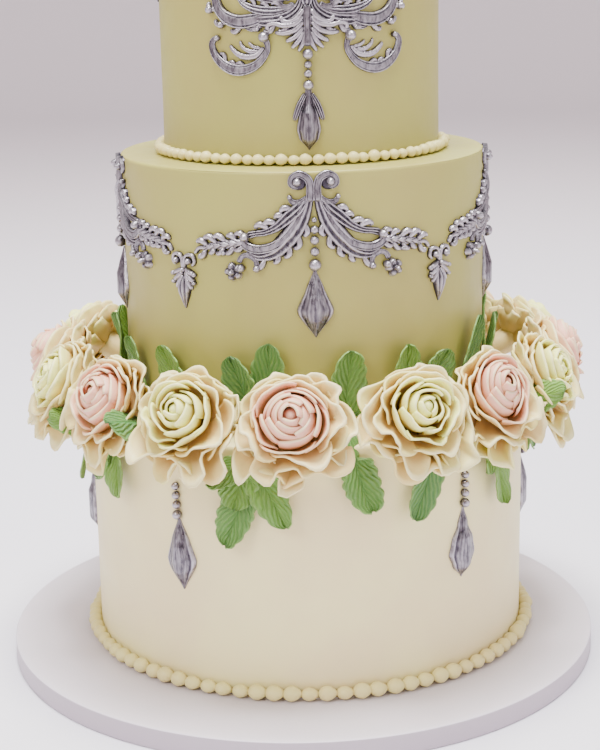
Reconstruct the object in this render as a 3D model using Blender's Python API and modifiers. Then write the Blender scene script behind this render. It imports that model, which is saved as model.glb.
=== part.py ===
"""Three-tier cake on its round drum board.

Silver scroll swags and drops, piped flowers, leaves and bead borders trim the tiers.

Lengths are metres unless a name ends in MM. Z points up, the cake's front faces -Y, and the tiers share
the Z axis. The underside of the board is at z = 0. An azimuth is measured from the front towards +X.
"""

import math
import random

import bmesh
import bpy
from mathutils import Matrix, Vector

MM = 0.001
GAP = 0.0003
WELD = 1e-6
SEED = 41
SMOOTH_ANGLE_DEG = 42.0

# Drum board, a 14 inch round that stands a little off the tiers' axis.
BOARD_RADIUS = 0.178
BOARD_THICKNESS = 0.0125
BOARD_CENTRE = (-0.0045, -0.006)
BOARD_EDGE_ROUND = 0.0015
BOARD_STEPS = 36

# Tiers, 10, 8 and 6 inch cakes with their icing.
BOTTOM_RADIUS = 0.1305
MIDDLE_RADIUS = 0.1065
TOP_RADIUS = 0.0805
LEDGE = 0.158
MIDDLE_TOP = 0.303
CAKE_TOP = 0.455
TIER_EDGE_ROUND = 0.0022
TIER_STEPS = 36

# Bead borders, piped into the corner at the foot of a tier.
BOTTOM_BEADS = 86
BOTTOM_BEAD_SIZE = 0.0082
TOP_BEADS = 80
TOP_BEAD_SIZE = 0.0060
BEAD_UNEVENNESS = 0.10
BEAD_WAIST = 0.62

# Flower ring on the ledge between the bottom and middle tiers.
FLOWER_COUNT = 16
FLOWER_TURN_DEG = -1.0
FLOWER_SHIFT_DEG = {-2: -0.9, -1: -1.3, 0: -1.4, 1: 2.2, 2: 1.4}
FLOWER_RADIAL = 0.1436
FLOWER_HEIGHT = 0.1761
FLOWER_TILT_DEG = 27.0
FLOWER_SIDE = 0.0325
FLOWER_ABOVE = 0.0265
FLOWER_BELOW = 0.0420
FLOWER_LOBES = 6
SEAT_RADIAL = 0.1165
SEAT_HEIGHT = 0.1690
SEAT_HALF = 0.0105

# A flower's rings from the tip of its bud to its back: share of the rim, height, ripple, and lobe phase.
FLOWER_RINGS = (
    (0.38, 0.0190, 0.0010, 0.5),
    (0.49, 0.0085, 0.0000, 0.0),
    (0.68, 0.0135, 0.0022, 0.0),
    (0.75, 0.0060, 0.0000, 0.0),
    (1.00, 0.0075, 0.0030, 0.5),
    (0.34, -0.0060, 0.0000, 0.0),
)
BUD_TIP = 0.0240

# Silver pieces hang from these azimuths on their tiers.
SWAG_JOINTS_DEG = (-78.2, 3.8, 85.8, 183.8)
SWAG_HEIGHT = 0.2955
SWAG_STRETCH = (1.0, 1.0, 1.0, 49.0 / 41.0)
FLEUR_HEIGHT = 0.2530
LOWER_DROPS_DEG = (-87.0, -33.6, 42.6, 90.0, 138.0, 228.0)
LOWER_DROP_LEAN_DEG = (-1.5, 2.5)
CARTOUCHES_DEG = (3.6, 183.6)
CRESTS_DEG = (-84.0, 96.0)
CARTOUCHE_HEIGHT = 0.390
SILVER_GAP = 0.0004

# Leaves of a gap between flowers: base azimuth and height, tip azimuth and height, width (degrees and mm).
LEAF_GAPS = (
    ((-2.0, 166, -4.0, 203, 20), (1.5, 150, 7.0, 117, 20), (-1.0, 150, -4.0, 122, 21)),
    ((-1.5, 166, -8.5, 204, 21), (2.0, 166, 5.0, 192, 18)),
    ((-1.5, 166, -7.0, 203, 20), (1.5, 166, 4.2, 211, 21), (-1.0, 150, -9.5, 138, 16),
     (-1.0, 151, -3.0, 124, 23), (1.5, 150, 9.2, 115, 20), (-0.6, 134, -5.2, 103, 20)),
    ((1.5, 166, 2.6, 206, 21), (1.0, 152, 4.6, 122, 21)),
    ((-1.5, 166, -4.5, 206, 20), (2.0, 166, 10.4, 199, 22), (-1.5, 151, -9.2, 114, 19)),
    ((0.5, 166, 6.0, 212, 18), (-1.0, 152, -8.5, 130, 19), (0.0, 151, -1.6, 108, 21)),
)
FRONT_GAP = -3
BACK_GAPS = (3, 1, 3, 5)
SADDLE_HALF_WIDTH = 0.0062
SADDLE_OUTER = 0.1348
SADDLE_LOW = 0.1420
SADDLE_TOP = 0.1680
LEAF_THICKNESS = 0.0011
LEAF_LIFT = 0.0008
LEAF_CURL = 0.0050
LEAF_WAVE = 0.0012


def clear_scene():
    """Take away whatever the file opened with."""
    for thing in list(bpy.data.objects):
        bpy.data.objects.remove(thing, do_unlink=True)


def finish(name, colour, roughness, metallic=0.0):
    """A Principled material from a colour, a roughness and a metallic value."""
    material = bpy.data.materials.new(name)
    material.use_nodes = True
    shader = material.node_tree.nodes["Principled BSDF"]
    shader.inputs["Base Color"].default_value = (*colour, 1.0)
    shader.inputs["Roughness"].default_value = roughness
    shader.inputs["Metallic"].default_value = metallic
    return material


def add_node(name, mesh, material):
    """Keep a finished mesh as one named piece of the cake."""
    mesh.materials.clear()
    mesh.materials.append(material)
    mesh.shade_smooth()
    mesh.set_sharp_from_angle(angle=math.radians(SMOOTH_ANGLE_DEG))
    node = bpy.data.objects.new(name, mesh)
    cake.objects.link(node)
    return node


def loose_object(name, data):
    """An object in the scene for a while, until a Boolean or a conversion has read it."""
    thing = bpy.data.objects.new(name, data)
    bpy.context.scene.collection.objects.link(thing)
    return thing


def evaluated_mesh(thing):
    """A plain mesh of an object with its curve shape or modifiers applied, and the object removed."""
    graph = bpy.context.evaluated_depsgraph_get()
    mesh = bpy.data.meshes.new_from_object(thing.evaluated_get(graph), depsgraph=graph)
    mesh.transform(thing.matrix_world)
    bpy.data.objects.remove(thing, do_unlink=True)
    return mesh


def face_bodies(work):
    """The sets of faces of a bmesh that hang together by their edges."""
    unseen = set(work.faces)
    bodies = []
    while unseen:
        front = [unseen.pop()]
        body = set(front)
        while front:
            face = front.pop()
            near = {other for edge in face.edges for other in edge.link_faces} & unseen
            unseen -= near
            body |= near
            front += near
        bodies.append(body)
    return bodies


def largest_body(mesh):
    """Drop the loose scraps of a joined mesh."""
    work = bmesh.new()
    work.from_mesh(mesh)
    keep = max(face_bodies(work), key=len)
    scraps = [face for face in work.faces if face not in keep]
    bmesh.ops.delete(work, geom=scraps, context="FACES")
    work.to_mesh(mesh)
    work.free()
    return mesh


def tidy_mesh(mesh):
    """Weld a mesh, split its faces into triangles and turn them outwards."""
    work = bmesh.new()
    work.from_mesh(mesh)
    bmesh.ops.remove_doubles(work, verts=work.verts, dist=WELD)
    bmesh.ops.triangulate(work, faces=work.faces)
    bmesh.ops.recalc_face_normals(work, faces=work.faces)
    if work.calc_volume(signed=True) < 0.0:
        bmesh.ops.reverse_faces(work, faces=work.faces)
    work.to_mesh(mesh)
    work.free()
    return mesh


def fuse(meshes):
    """Join closed meshes that overlap into one, by MANIFOLD: EXACT leaves scraps at grazing faces."""
    for mesh in meshes:
        tidy_mesh(mesh)
    group = bpy.data.collections.new("pieces")
    first = loose_object("first", meshes[0])
    for mesh in meshes[1:]:
        piece = bpy.data.objects.new("piece", mesh)
        group.objects.link(piece)
    bpy.context.scene.collection.children.link(group)
    union = first.modifiers.new("Join", "BOOLEAN")
    union.operation = "UNION"
    union.operand_type = "COLLECTION"
    union.collection = group
    union.solver = "MANIFOLD"
    joined = evaluated_mesh(first)
    for piece in list(group.objects):
        bpy.data.objects.remove(piece, do_unlink=True)
    bpy.data.collections.remove(group)
    return largest_body(joined)


def move_points(mesh, rule):
    """Move every point of a mesh by a rule that takes and gives a Vector."""
    for vert in mesh.vertices:
        vert.co = rule(vert.co.copy())
    mesh.update()
    return mesh


def turned(name, profile, steps, material):
    """A solid of revolution about Z, from a profile of (radius, height) that runs from top to bottom."""
    mesh = bpy.data.meshes.new(name)
    points = [(radius, 0.0, height) for radius, height in profile]
    mesh.from_pydata(points, [(i, i + 1) for i in range(len(points) - 1)], [])
    node = loose_object(name, mesh)
    turn = node.modifiers.new("Turn", "SCREW")
    turn.steps = steps
    turn.render_steps = steps
    turn.use_merge_vertices = True
    turn.merge_threshold = 1e-5
    return add_node(name, tidy_mesh(evaluated_mesh(node)), material)


def round_corner(radius, height, size, start_deg, end_deg, steps):
    """Points of a quarter round inside a corner at (radius, height)."""
    points = []
    for step in range(steps + 1):
        angle = math.radians(start_deg + (end_deg - start_deg) * step / steps)
        points.append((radius + size * math.cos(angle), height + size * math.sin(angle)))
    return points


def make_board():
    """The drum board, round at both edges."""
    inner = BOARD_RADIUS - BOARD_EDGE_ROUND
    top = round_corner(inner, BOARD_THICKNESS - BOARD_EDGE_ROUND, BOARD_EDGE_ROUND, 90, 0, 2)
    foot = round_corner(inner, BOARD_EDGE_ROUND, BOARD_EDGE_ROUND, 0, -90, 1)
    profile = [(0.0, BOARD_THICKNESS), *top, *foot, (0.0, 0.0)]
    board = turned("drum_board", profile, BOARD_STEPS, BOARD_FINISH)
    board.data.transform(Matrix.Translation((*BOARD_CENTRE, 0.0)))
    return board


def make_tier(name, radius, bottom, top, material):
    """One cake tier, a solid drum with a rounded top edge."""
    inner = radius - TIER_EDGE_ROUND
    edge = round_corner(inner, top - TIER_EDGE_ROUND, TIER_EDGE_ROUND, 90, 0, 2)
    profile = [(0.0, top), *edge, (radius, bottom), (0.0, bottom)]
    return turned(name, profile, TIER_STEPS, material)


def make_border(name, tier_radius, foot, beads, size, draw):
    """A ring of piped beads that fills the corner between a tier and what it stands on."""
    bpy.ops.mesh.primitive_torus_add(
        major_segments=2 * beads, minor_segments=3, major_radius=1.0, minor_radius=0.25
    )
    ring = bpy.context.object
    swell = [1.0 + draw.uniform(-BEAD_UNEVENNESS, BEAD_UNEVENNESS) for _ in range(beads)]

    def bead_point(point):
        turn = math.atan2(point.y, point.x) % math.tau
        station = round(turn / math.tau * 2 * beads)
        out = math.hypot(point.x, point.y) - 1.0
        bead = swell[station // 2 % beads]
        reach = size * (bead if station % 2 else BEAD_WAIST)
        if out > 0.0:
            across, up = 1.0, 0.25
        else:
            across, up = (0.35, 1.0) if point.z > 0.0 else (0.0, 0.0)
        radius = tier_radius + GAP + across * reach
        return Vector((radius * math.cos(turn), radius * math.sin(turn), foot + GAP + up * reach))

    mesh = move_points(evaluated_mesh(ring), bead_point)
    return add_node(name, tidy_mesh(mesh), BEAD_FINISH)


def flower_azimuth(index):
    """The azimuth of a flower in degrees, counted from the front one."""
    return FLOWER_TURN_DEG + index * 360.0 / FLOWER_COUNT + FLOWER_SHIFT_DEG.get(index, 0.0)


def place_on_ledge(point, azimuth_deg):
    """Turn a point of the radial plane (across, out, up) to an azimuth round the cake."""
    angle = math.radians(azimuth_deg)
    across, out, up = point
    return Vector((
        across * math.cos(angle) + out * math.sin(angle),
        across * math.sin(angle) - out * math.cos(angle),
        up,
    ))


def flower_head(draw, left_limit, right_limit):
    """A flower that faces out and up, in the (across, out, up) frame of its own azimuth."""
    rings = len(FLOWER_RINGS) + 1
    segments = 2 * FLOWER_LOBES
    work = bmesh.new()
    bmesh.ops.create_uvsphere(work, u_segments=segments, v_segments=rings + 1, radius=1.0)
    swell = [1.0 + draw.uniform(-0.05, 0.05) for _ in range(segments)]
    lean = draw.uniform(-0.4, 0.4)
    tilt = math.radians(FLOWER_TILT_DEG)
    for vert in work.verts:
        ring = round(math.acos(max(-1.0, min(1.0, vert.co.z))) / math.pi * (rings + 1))
        turn = math.atan2(vert.co.y, vert.co.x)
        if ring >= rings:
            half = SEAT_HALF if ring == rings else 0.0
            up = max(LEDGE + GAP, SEAT_HEIGHT + half * math.sin(turn))
            vert.co = Vector((half * math.cos(turn), SEAT_RADIAL, up))
            continue
        if ring == 0:
            x, y, height = 0.0, 0.0, BUD_TIP
        else:
            share, height, ripple, phase = FLOWER_RINGS[ring - 1]
            station = round(turn / math.tau * segments) % segments
            rise = math.sin(turn)
            reach = FLOWER_ABOVE if rise > 0 else FLOWER_BELOW
            rim = FLOWER_SIDE + (reach - FLOWER_SIDE) * abs(rise)
            lobe = math.cos(math.tau * (station / 2 + phase))
            size = rim * share * swell[station] + 0.5 * ripple * lobe
            height += ripple * math.cos(math.tau * (station / 3 + phase) + lean)
            x, y = size * math.cos(turn), size * rise
        out = FLOWER_RADIAL + height * math.cos(tilt) - y * math.sin(tilt)
        up = FLOWER_HEIGHT + height * math.sin(tilt) + y * math.cos(tilt)
        aside = max(-left_limit, min(right_limit, math.atan2(x, out)))
        away = math.hypot(x, out)
        vert.co = Vector((away * math.sin(aside), away * math.cos(aside), up))
    mesh = bpy.data.meshes.new("flower_head")
    work.to_mesh(mesh)
    work.free()
    return mesh


def saddle():
    """The mound that leaves grow from: it sits on the ledge and laps over its edge."""
    inner, edge, outer = MIDDLE_RADIUS + 2 * GAP, BOTTOM_RADIUS + 2 * GAP, SADDLE_OUTER
    outline = ((inner, LEDGE + GAP), (edge, LEDGE + GAP), (edge, SADDLE_LOW), (outer, SADDLE_LOW),
               (outer, SADDLE_TOP), (inner, SADDLE_TOP))
    work = bmesh.new()
    corners = [work.verts.new((-SADDLE_HALF_WIDTH, out, up)) for out, up in outline]
    side = work.faces.new(corners)
    swept = bmesh.ops.extrude_face_region(work, geom=[side], use_keep_orig=True)
    moved = [item for item in swept["geom"] if isinstance(item, bmesh.types.BMVert)]
    bmesh.ops.translate(work, verts=moved, vec=(2 * SADDLE_HALF_WIDTH, 0.0, 0.0))
    mesh = bpy.data.meshes.new("saddle")
    work.to_mesh(mesh)
    work.free()
    return mesh


def make_flowers(draw):
    """Sixteen flowers round the ledge, each with a seat that reaches back over it."""
    half = FLOWER_COUNT // 2
    for index in range(1 - half, half + 1):
        azimuth = flower_azimuth(index)
        before = flower_azimuth(index - 1) if index > 1 - half else flower_azimuth(half) - 360.0
        after = flower_azimuth(index + 1) if index < half else flower_azimuth(1 - half) + 360.0
        clear = GAP / FLOWER_RADIAL
        limits = [math.radians(abs(azimuth - side) / 2) - clear for side in (before, after)]
        mesh = flower_head(draw, *limits)
        move_points(mesh, lambda point, turn=azimuth: place_on_ledge(point, turn))
        finish_of = PINK_FLOWER if index % 2 == 0 else GREEN_FLOWER
        add_node(f"flower_{index + half:02d}", tidy_mesh(mesh), finish_of)


def wrap(mesh, radius, azimuth_deg, height, stretch=1.0):
    """Lay a flat ornament (x round the cake, y up, z outwards) on a tier's side."""
    def on_side(point):
        turn = math.radians(azimuth_deg) + point.x * stretch / radius
        away = radius + point.z
        return Vector((away * math.sin(turn), -away * math.cos(turn), height + point.y))

    return move_points(mesh, on_side)


def leaf(base, tip, width, wall, draw):
    """A thin wavy leaf in the (azimuth offset, height) plane of a wall, as a flat ornament in metres."""
    start, end = Vector(base), Vector(tip)
    along = end - start
    across = Vector((-along.y, along.x)).normalized() * width / 2
    work = bmesh.new()
    bmesh.ops.create_grid(work, x_segments=2, y_segments=3, size=1.0)
    phase = draw.uniform(0.0, math.tau)
    for vert in work.verts:
        share = (vert.co.y + 1.0) / 2
        side = vert.co.x
        breadth = math.sin(math.pi * min(1.0, 0.06 + 0.94 * share)) ** 0.7 if 0.01 < share < 0.99 else 0.0
        place = start + along * share + across * side * breadth
        lift = LEAF_LIFT + LEAF_CURL * share ** 2 + LEAF_WAVE * (1.0 + math.sin(phase + 4 * share + 2 * side))
        vert.co = Vector((place.x, place.y, wall + lift))
    bmesh.ops.remove_doubles(work, verts=work.verts, dist=WELD)
    bmesh.ops.triangulate(work, faces=work.faces)
    under = bmesh.ops.extrude_face_region(work, geom=work.faces[:], use_keep_orig=True)
    moved = [item for item in under["geom"] if isinstance(item, bmesh.types.BMVert)]
    bmesh.ops.translate(work, verts=moved, vec=(0.0, 0.0, LEAF_THICKNESS))
    mesh = bpy.data.meshes.new("leaf")
    work.to_mesh(mesh)
    work.free()
    return mesh


def make_leaves(draw):
    """A spray of leaves in each gap between flowers, on a mound of icing that crosses the ledge's edge."""
    half = FLOWER_COUNT // 2
    for index in range(1 - half, half + 1):
        after = flower_azimuth(index + 1) if index < half else flower_azimuth(1 - half) + 360.0
        azimuth = (flower_azimuth(index) + after) / 2
        pieces = [saddle()]
        order = index - FRONT_GAP
        chosen = order if 0 <= order < len(LEAF_GAPS) else BACK_GAPS[order % len(BACK_GAPS)]
        for base_turn, base_up, tip_turn, tip_up, width in LEAF_GAPS[chosen]:
            upper = tip_up * MM > LEDGE
            radius = MIDDLE_RADIUS if upper else BOTTOM_RADIUS
            span = radius * math.pi / 180
            base = (base_turn * span, base_up * MM)
            tip = (tip_turn * span, tip_up * MM)
            mesh = leaf(base, tip, width * MM, GAP, draw)
            wrap(mesh, radius, 180.0, 0.0)
            move_points(mesh, lambda point: Vector((-point.x, point.y, point.z)))
            pieces.append(mesh)
        mesh = fuse(pieces)
        move_points(mesh, lambda point, turn=azimuth: place_on_ledge(point, turn))
        mesh.flip_normals()
        add_node(f"leaves_{index + half:02d}", mesh, LEAF_FINISH)


def section(corners):
    """A closed outline for a stroke's cross-section: x across the stroke, y away from the wall."""
    outline = bpy.data.curves.new("section", "CURVE")
    outline.dimensions = "2D"
    outline.fill_mode = "NONE"
    spline = outline.splines.new("POLY")
    spline.points.add(len(corners) - 1)
    for point, (x, y) in zip(spline.points, corners):
        point.co = (x, y, 0.0, 1.0)
    spline.use_cyclic_u = True
    return loose_object("section", outline)


def stroke(stations, flatness=0.9):
    """A ridged scroll along stations of (x, y, half width) in mm, flat on the wall side."""
    path = bpy.data.curves.new("stroke", "CURVE")
    path.dimensions = "2D"
    path.fill_mode = "NONE"
    path.bevel_mode = "OBJECT"
    path.bevel_object = RIDGE
    path.use_fill_caps = True
    spline = path.splines.new("POLY")
    spline.points.add(len(stations) - 1)
    for point, (x, y, half_width) in zip(spline.points, stations):
        point.co = (x * MM, y * MM, 0.0, 1.0)
        point.radius = half_width * MM
    mesh = evaluated_mesh(loose_object("stroke", path))
    move_points(mesh, lambda point: Vector((point.x, point.y, point.z * flatness)))
    work = bmesh.new()
    work.from_mesh(mesh)
    bmesh.ops.remove_doubles(work, verts=work.verts, dist=WELD)
    bmesh.ops.recalc_face_normals(work, faces=work.faces)
    work.to_mesh(mesh)
    work.free()
    return mesh


def mirrored(mesh):
    """A copy of a flat ornament on the other side of its middle line."""
    other = mesh.copy()
    other.transform(Matrix.Diagonal((-1.0, 1.0, 1.0, 1.0)))
    other.flip_normals()
    return other


def volute(centre, radius, start_deg, sweep_deg, steps, half_width):
    """Stations of a spiral that runs in from its rim to the boss at its centre."""
    stations = []
    for step in range(steps + 1):
        share = step / steps
        angle = math.radians(start_deg + sweep_deg * share)
        away = radius * (1.0 - 0.82 * share)
        width = half_width * (1.0 + 0.5 * share)
        stations.append((centre[0] + away * math.cos(angle), centre[1] + away * math.sin(angle), width))
    return stations


def rosette(centre, radius, height, sides):
    """A small blossom or boss, in mm."""
    work = bmesh.new()
    bmesh.ops.create_cone(
        work, cap_ends=True, segments=sides, radius1=radius * MM, radius2=0.45 * radius * MM,
        depth=height * MM
    )
    bmesh.ops.translate(work, verts=work.verts, vec=(centre[0] * MM, centre[1] * MM, 0.5 * height * MM))
    mesh = bpy.data.meshes.new("rosette")
    work.to_mesh(mesh)
    work.free()
    return mesh


def swag_arm():
    """The right arm of a swag, from the volute at its joint to the stem that reaches the next fleur."""
    scroll = [(1.6, 1.0, 2.0), (3.8, 5.0, 1.6), (7.2, 6.2, 1.4), (10.6, 4.6, 1.4), (11.0, 1.0, 1.4),
              (8.2, 2.4, 2.0)]
    band = [(36.5, -32.5, 2.0), (30.5, -36.6, 2.4), (23.0, -36.0, 3.6), (15.5, -30.5, 4.2), (9.0, -23.0, 4.0),
            (4.4, -14.0, 3.2), (1.6, -6.0, 2.6)]
    branch = [(5.5, -11.0, 2.2), (11.5, -12.8, 2.8), (18.0, -17.6, 2.8), (23.4, -23.6, 1.8),
              (30.0, -25.8, 1.9), (36.2, -27.4, 2.3)]
    cluster = [(34.5, -31.5, 2.0), (40.7, -30.6, 3.3), (48.7, -31.9, 3.4), (56.6, -33.2, 2.5),
               (64.4, -35.4, 1.2), (67.4, -38.2, 0.8)]
    hook = [(31.1, -44.5, 2.0), (32.2, -39.6, 1.3), (36.6, -37.2, 1.6), (43.6, -45.0, 1.8)]
    curl = [(3.0, -7.5, 1.2), (7.8, -9.4, 1.3), (12.4, -6.6, 1.2)]
    paths = (band + scroll, branch, cluster, hook, curl)
    meshes = [stroke(path) for path in paths]
    meshes.append(rosette((44.2, -46.6), 5.2, 3.4, 6))
    return meshes


def make_swags():
    """Four swags, each a mirrored pair of arms that spring from one joint."""
    right = swag_arm()
    pair = fuse(right + [mirrored(mesh) for mesh in right])
    for index, (azimuth, stretch) in enumerate(zip(SWAG_JOINTS_DEG, SWAG_STRETCH)):
        mesh = wrap(pair.copy(), MIDDLE_RADIUS + SILVER_GAP, azimuth, SWAG_HEIGHT, stretch)
        add_node(f"swag_{index + 1}", mesh, SILVER)


def make_fleurs():
    """A fleur between each two swags, with a pair of small volutes over a fan and a pointed lobe."""
    lobe = stroke([(0.0, 1.5, 1.2), (0.0, -15.0, 3.9), (0.0, -20.0, 3.4), (0.0, -27.2, 0.5)], 0.8)
    fan = stroke([(0.0, -5.0, 1.6), (5.6, -10.6, 2.2), (6.2, -16.0, 1.0)])
    scroll = stroke([(0.0, -5.5, 1.3), (1.6, 0.2, 1.3), (5.4, 0.6, 1.3), (5.6, -3.4, 1.7)])
    whole = fuse([lobe, fan, scroll, mirrored(fan), mirrored(scroll)])
    spans = len(SWAG_JOINTS_DEG)
    for index, start in enumerate(SWAG_JOINTS_DEG):
        end = SWAG_JOINTS_DEG[(index + 1) % spans] + (360.0 if index == spans - 1 else 0.0)
        mesh = wrap(whole.copy(), MIDDLE_RADIUS + SILVER_GAP, (start + end) / 2, FLEUR_HEIGHT)
        add_node(f"fleur_{index + 1}", mesh, SILVER)


def bead_chain(top, beads):
    """Stations down a chain of touching round beads, from (centre height, radius) in mm."""
    stations = [top]
    for height, radius in beads:
        stations += [(0.0, height + 1.05 * radius, 0.45 * radius), (0.0, height, radius)]
    last_height, last_radius = beads[-1]
    stations.append((0.0, last_height - 1.15 * last_radius, 0.40 * last_radius))
    return stations


def hanging_drop(top, beads, drop, flatness):
    """A bead chain that ends in a kite-shaped drop."""
    return fuse([stroke(bead_chain(top, beads), 1.0), stroke(drop, flatness)])


def hang(mesh, radius, azimuth_deg, height, lean_deg=0.0):
    """Stand a flat ornament against a tier, touching along one upright line."""
    mesh.transform(Matrix.Rotation(math.radians(lean_deg), 4, "Z"))
    return move_points(mesh, lambda point: place_on_ledge(
        (point.x, radius + SILVER_GAP + point.z, height + point.y), azimuth_deg))


def make_drops():
    """The drops under the swag joints and those that hang over the bottom tier."""
    beads = [(-23.6, 2.2), (-29.3, 2.4), (-35.4, 2.5), (-42.6, 3.4)]
    kite = [(0.0, -46.0, 1.0), (0.0, -56.0, 4.2), (0.0, -67.0, 9.0), (0.0, -71.0, 8.4), (0.0, -82.6, 0.6)]
    upper = hanging_drop((0.0, -17.6, 0.5), beads, kite, 0.66)
    for index, azimuth in enumerate(SWAG_JOINTS_DEG):
        add_node(f"drop_{index + 1}", hang(upper.copy(), MIDDLE_RADIUS, azimuth, SWAG_HEIGHT), SILVER)
    beads = [(-27.0, 2.2), (-32.2, 2.3), (-37.6, 2.4), (-43.4, 2.7)]
    kite = [(0.0, -46.0, 1.0), (0.0, -58.0, 4.8), (0.0, -69.0, 8.8), (0.0, -74.0, 8.2), (0.0, -87.4, 0.6)]
    lower = hanging_drop((0.0, -22.0, 0.8), beads, kite, 0.60)
    for index, azimuth in enumerate(LOWER_DROPS_DEG):
        mesh = hang(lower.copy(), BOTTOM_RADIUS, azimuth, LEDGE, LOWER_DROP_LEAN_DEG[index % 2])
        add_node(f"lower_drop_{index + 1}", mesh, SILVER)


def make_cartouches():
    """The large ornament of the top tier: crescents, palmette fan, C scrolls, bead chain and drop."""
    crescent = stroke([(1.0, -1.0, 2.2), (8.0, -6.0, 2.6), (15.3, -10.0, 3.4), (24.5, -10.8, 4.0),
                       (34.5, -9.8, 4.2), (42.0, -7.0, 3.6), (48.5, -1.5, 2.6), (50.5, 5.0, 2.0),
                       (46.5, 9.6, 1.8), (42.6, 6.6, 2.2)])
    inner_scroll = stroke([(6.0, -4.0, 2.0), (13.0, -1.0, 2.2), (15.0, 5.0, 1.9), (10.6, 9.0, 1.7),
                           (7.4, 5.0, 2.1)])
    plume = stroke([(0.0, 12.0, 2.0), (8.5, 17.0, 2.8), (13.0, 25.0, 2.2), (9.5, 29.5, 1.2)])
    lower_scroll = stroke([(19.0, -15.0, 1.6), (23.0, -19.5, 2.4), (21.3, -25.5, 1.4), (27.0, -32.8, 2.2),
                           (37.2, -35.8, 3.0), (46.8, -32.5, 2.5), (53.0, -25.5, 1.8), (51.0, -19.0, 1.2)])
    fans = [stroke([(0.0, -22.0, 1.6), (reach, drop - 5.0, 2.0), (1.4 * reach, drop, 1.2)])
            for reach, drop in ((8.0, -19.5), (15.0, -14.5))]
    halves = [crescent, inner_scroll, plume, lower_scroll, *fans]
    stem = stroke([(0.0, 36.0, 0.6), (0.0, 26.0, 4.0), (0.0, 12.0, 2.8), (0.0, -4.0, 3.6), (0.0, -14.0, 2.8),
                   (0.0, -25.5, 2.2)])
    beads = [(-28.4, 2.6), (-33.6, 2.1), (-38.4, 2.2), (-44.2, 2.7)]
    kite = [(0.0, -46.5, 1.0), (0.0, -54.0, 2.4), (0.0, -62.0, 6.2), (0.0, -69.0, 6.4), (0.0, -79.0, 0.5)]
    middle = [stem, stroke(bead_chain((0.0, -24.0, 0.9), beads), 1.0), stroke(kite, 0.6)]
    whole = fuse(middle + halves + [mirrored(mesh) for mesh in halves])
    for index, azimuth in enumerate(CARTOUCHES_DEG):
        mesh = wrap(whole.copy(), TOP_RADIUS + SILVER_GAP, azimuth, CARTOUCHE_HEIGHT)
        add_node(f"cartouche_{index + 1}", mesh, SILVER)


def make_crests():
    """A small shell crest on each side of the top tier."""
    stem = stroke([(0.0, 38.0, 0.6), (0.0, 28.0, 4.0), (0.0, 12.0, 3.0), (0.0, 5.0, 3.4),
                   (0.0, -2.0, 0.5)])
    scroll = stroke([(0.5, 10.0, 1.6), (7.0, 12.0, 2.2)] + volute((10.5, 18.0), 5.6, -60, 290, 5, 1.7))
    whole = fuse([stem, scroll, mirrored(scroll)])
    for index, azimuth in enumerate(CRESTS_DEG):
        mesh = wrap(whole.copy(), TOP_RADIUS + SILVER_GAP, azimuth, CARTOUCHE_HEIGHT)
        add_node(f"crest_{index + 1}", mesh, SILVER)


clear_scene()
cake = bpy.data.collections.new("tiered_cake")
bpy.context.scene.collection.children.link(cake)

BOARD_FINISH = finish("drum_foil", (0.66, 0.62, 0.64), 0.45)
IVORY_ICING = finish("ivory_icing", (0.70, 0.62, 0.50), 0.55)
GREEN_ICING = finish("green_icing", (0.60, 0.60, 0.36), 0.55)
BEAD_FINISH = finish("bead_icing", (0.76, 0.70, 0.48), 0.50)
PINK_FLOWER = finish("pink_petals", (0.80, 0.60, 0.46), 0.60)
GREEN_FLOWER = finish("green_petals", (0.78, 0.74, 0.46), 0.60)
LEAF_FINISH = finish("leaf_icing", (0.22, 0.42, 0.18), 0.50)
SILVER = finish("silver_paint", (0.42, 0.40, 0.46), 0.35, 0.85)

RIDGE = section([(-1.0, 0.0), (1.0, 0.0), (0.0, 1.0)])

randomness = random.Random(SEED)
make_board()
make_tier("tier_bottom", BOTTOM_RADIUS, BOARD_THICKNESS + GAP, LEDGE, IVORY_ICING)
make_tier("tier_middle", MIDDLE_RADIUS, LEDGE + GAP, MIDDLE_TOP, GREEN_ICING)
make_tier("tier_top", TOP_RADIUS, MIDDLE_TOP + GAP, CAKE_TOP, GREEN_ICING)
make_border("border_bottom", BOTTOM_RADIUS, BOARD_THICKNESS, BOTTOM_BEADS, BOTTOM_BEAD_SIZE, randomness)
make_border("border_top", TOP_RADIUS, MIDDLE_TOP, TOP_BEADS, TOP_BEAD_SIZE, randomness)
make_flowers(randomness)
make_leaves(randomness)
make_swags()
make_fleurs()
make_drops()
make_cartouches()
make_crests()
bpy.data.objects.remove(RIDGE, do_unlink=True)
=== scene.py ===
"""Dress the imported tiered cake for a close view.

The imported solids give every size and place. Each sub-assembly is a class that builds its pieces in mesh code
and lets them stand for their solids. Lengths are metres unless a docstring or a name says mm, the front faces
-Y, and an azimuth is measured from the front towards +X.
"""

import logging
import math
import random
from collections.abc import Callable, Iterator, Sequence
from dataclasses import dataclass
from enum import Enum

import bmesh
import bpy
from mathutils import Matrix, Vector
from mathutils import noise as field


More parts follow.
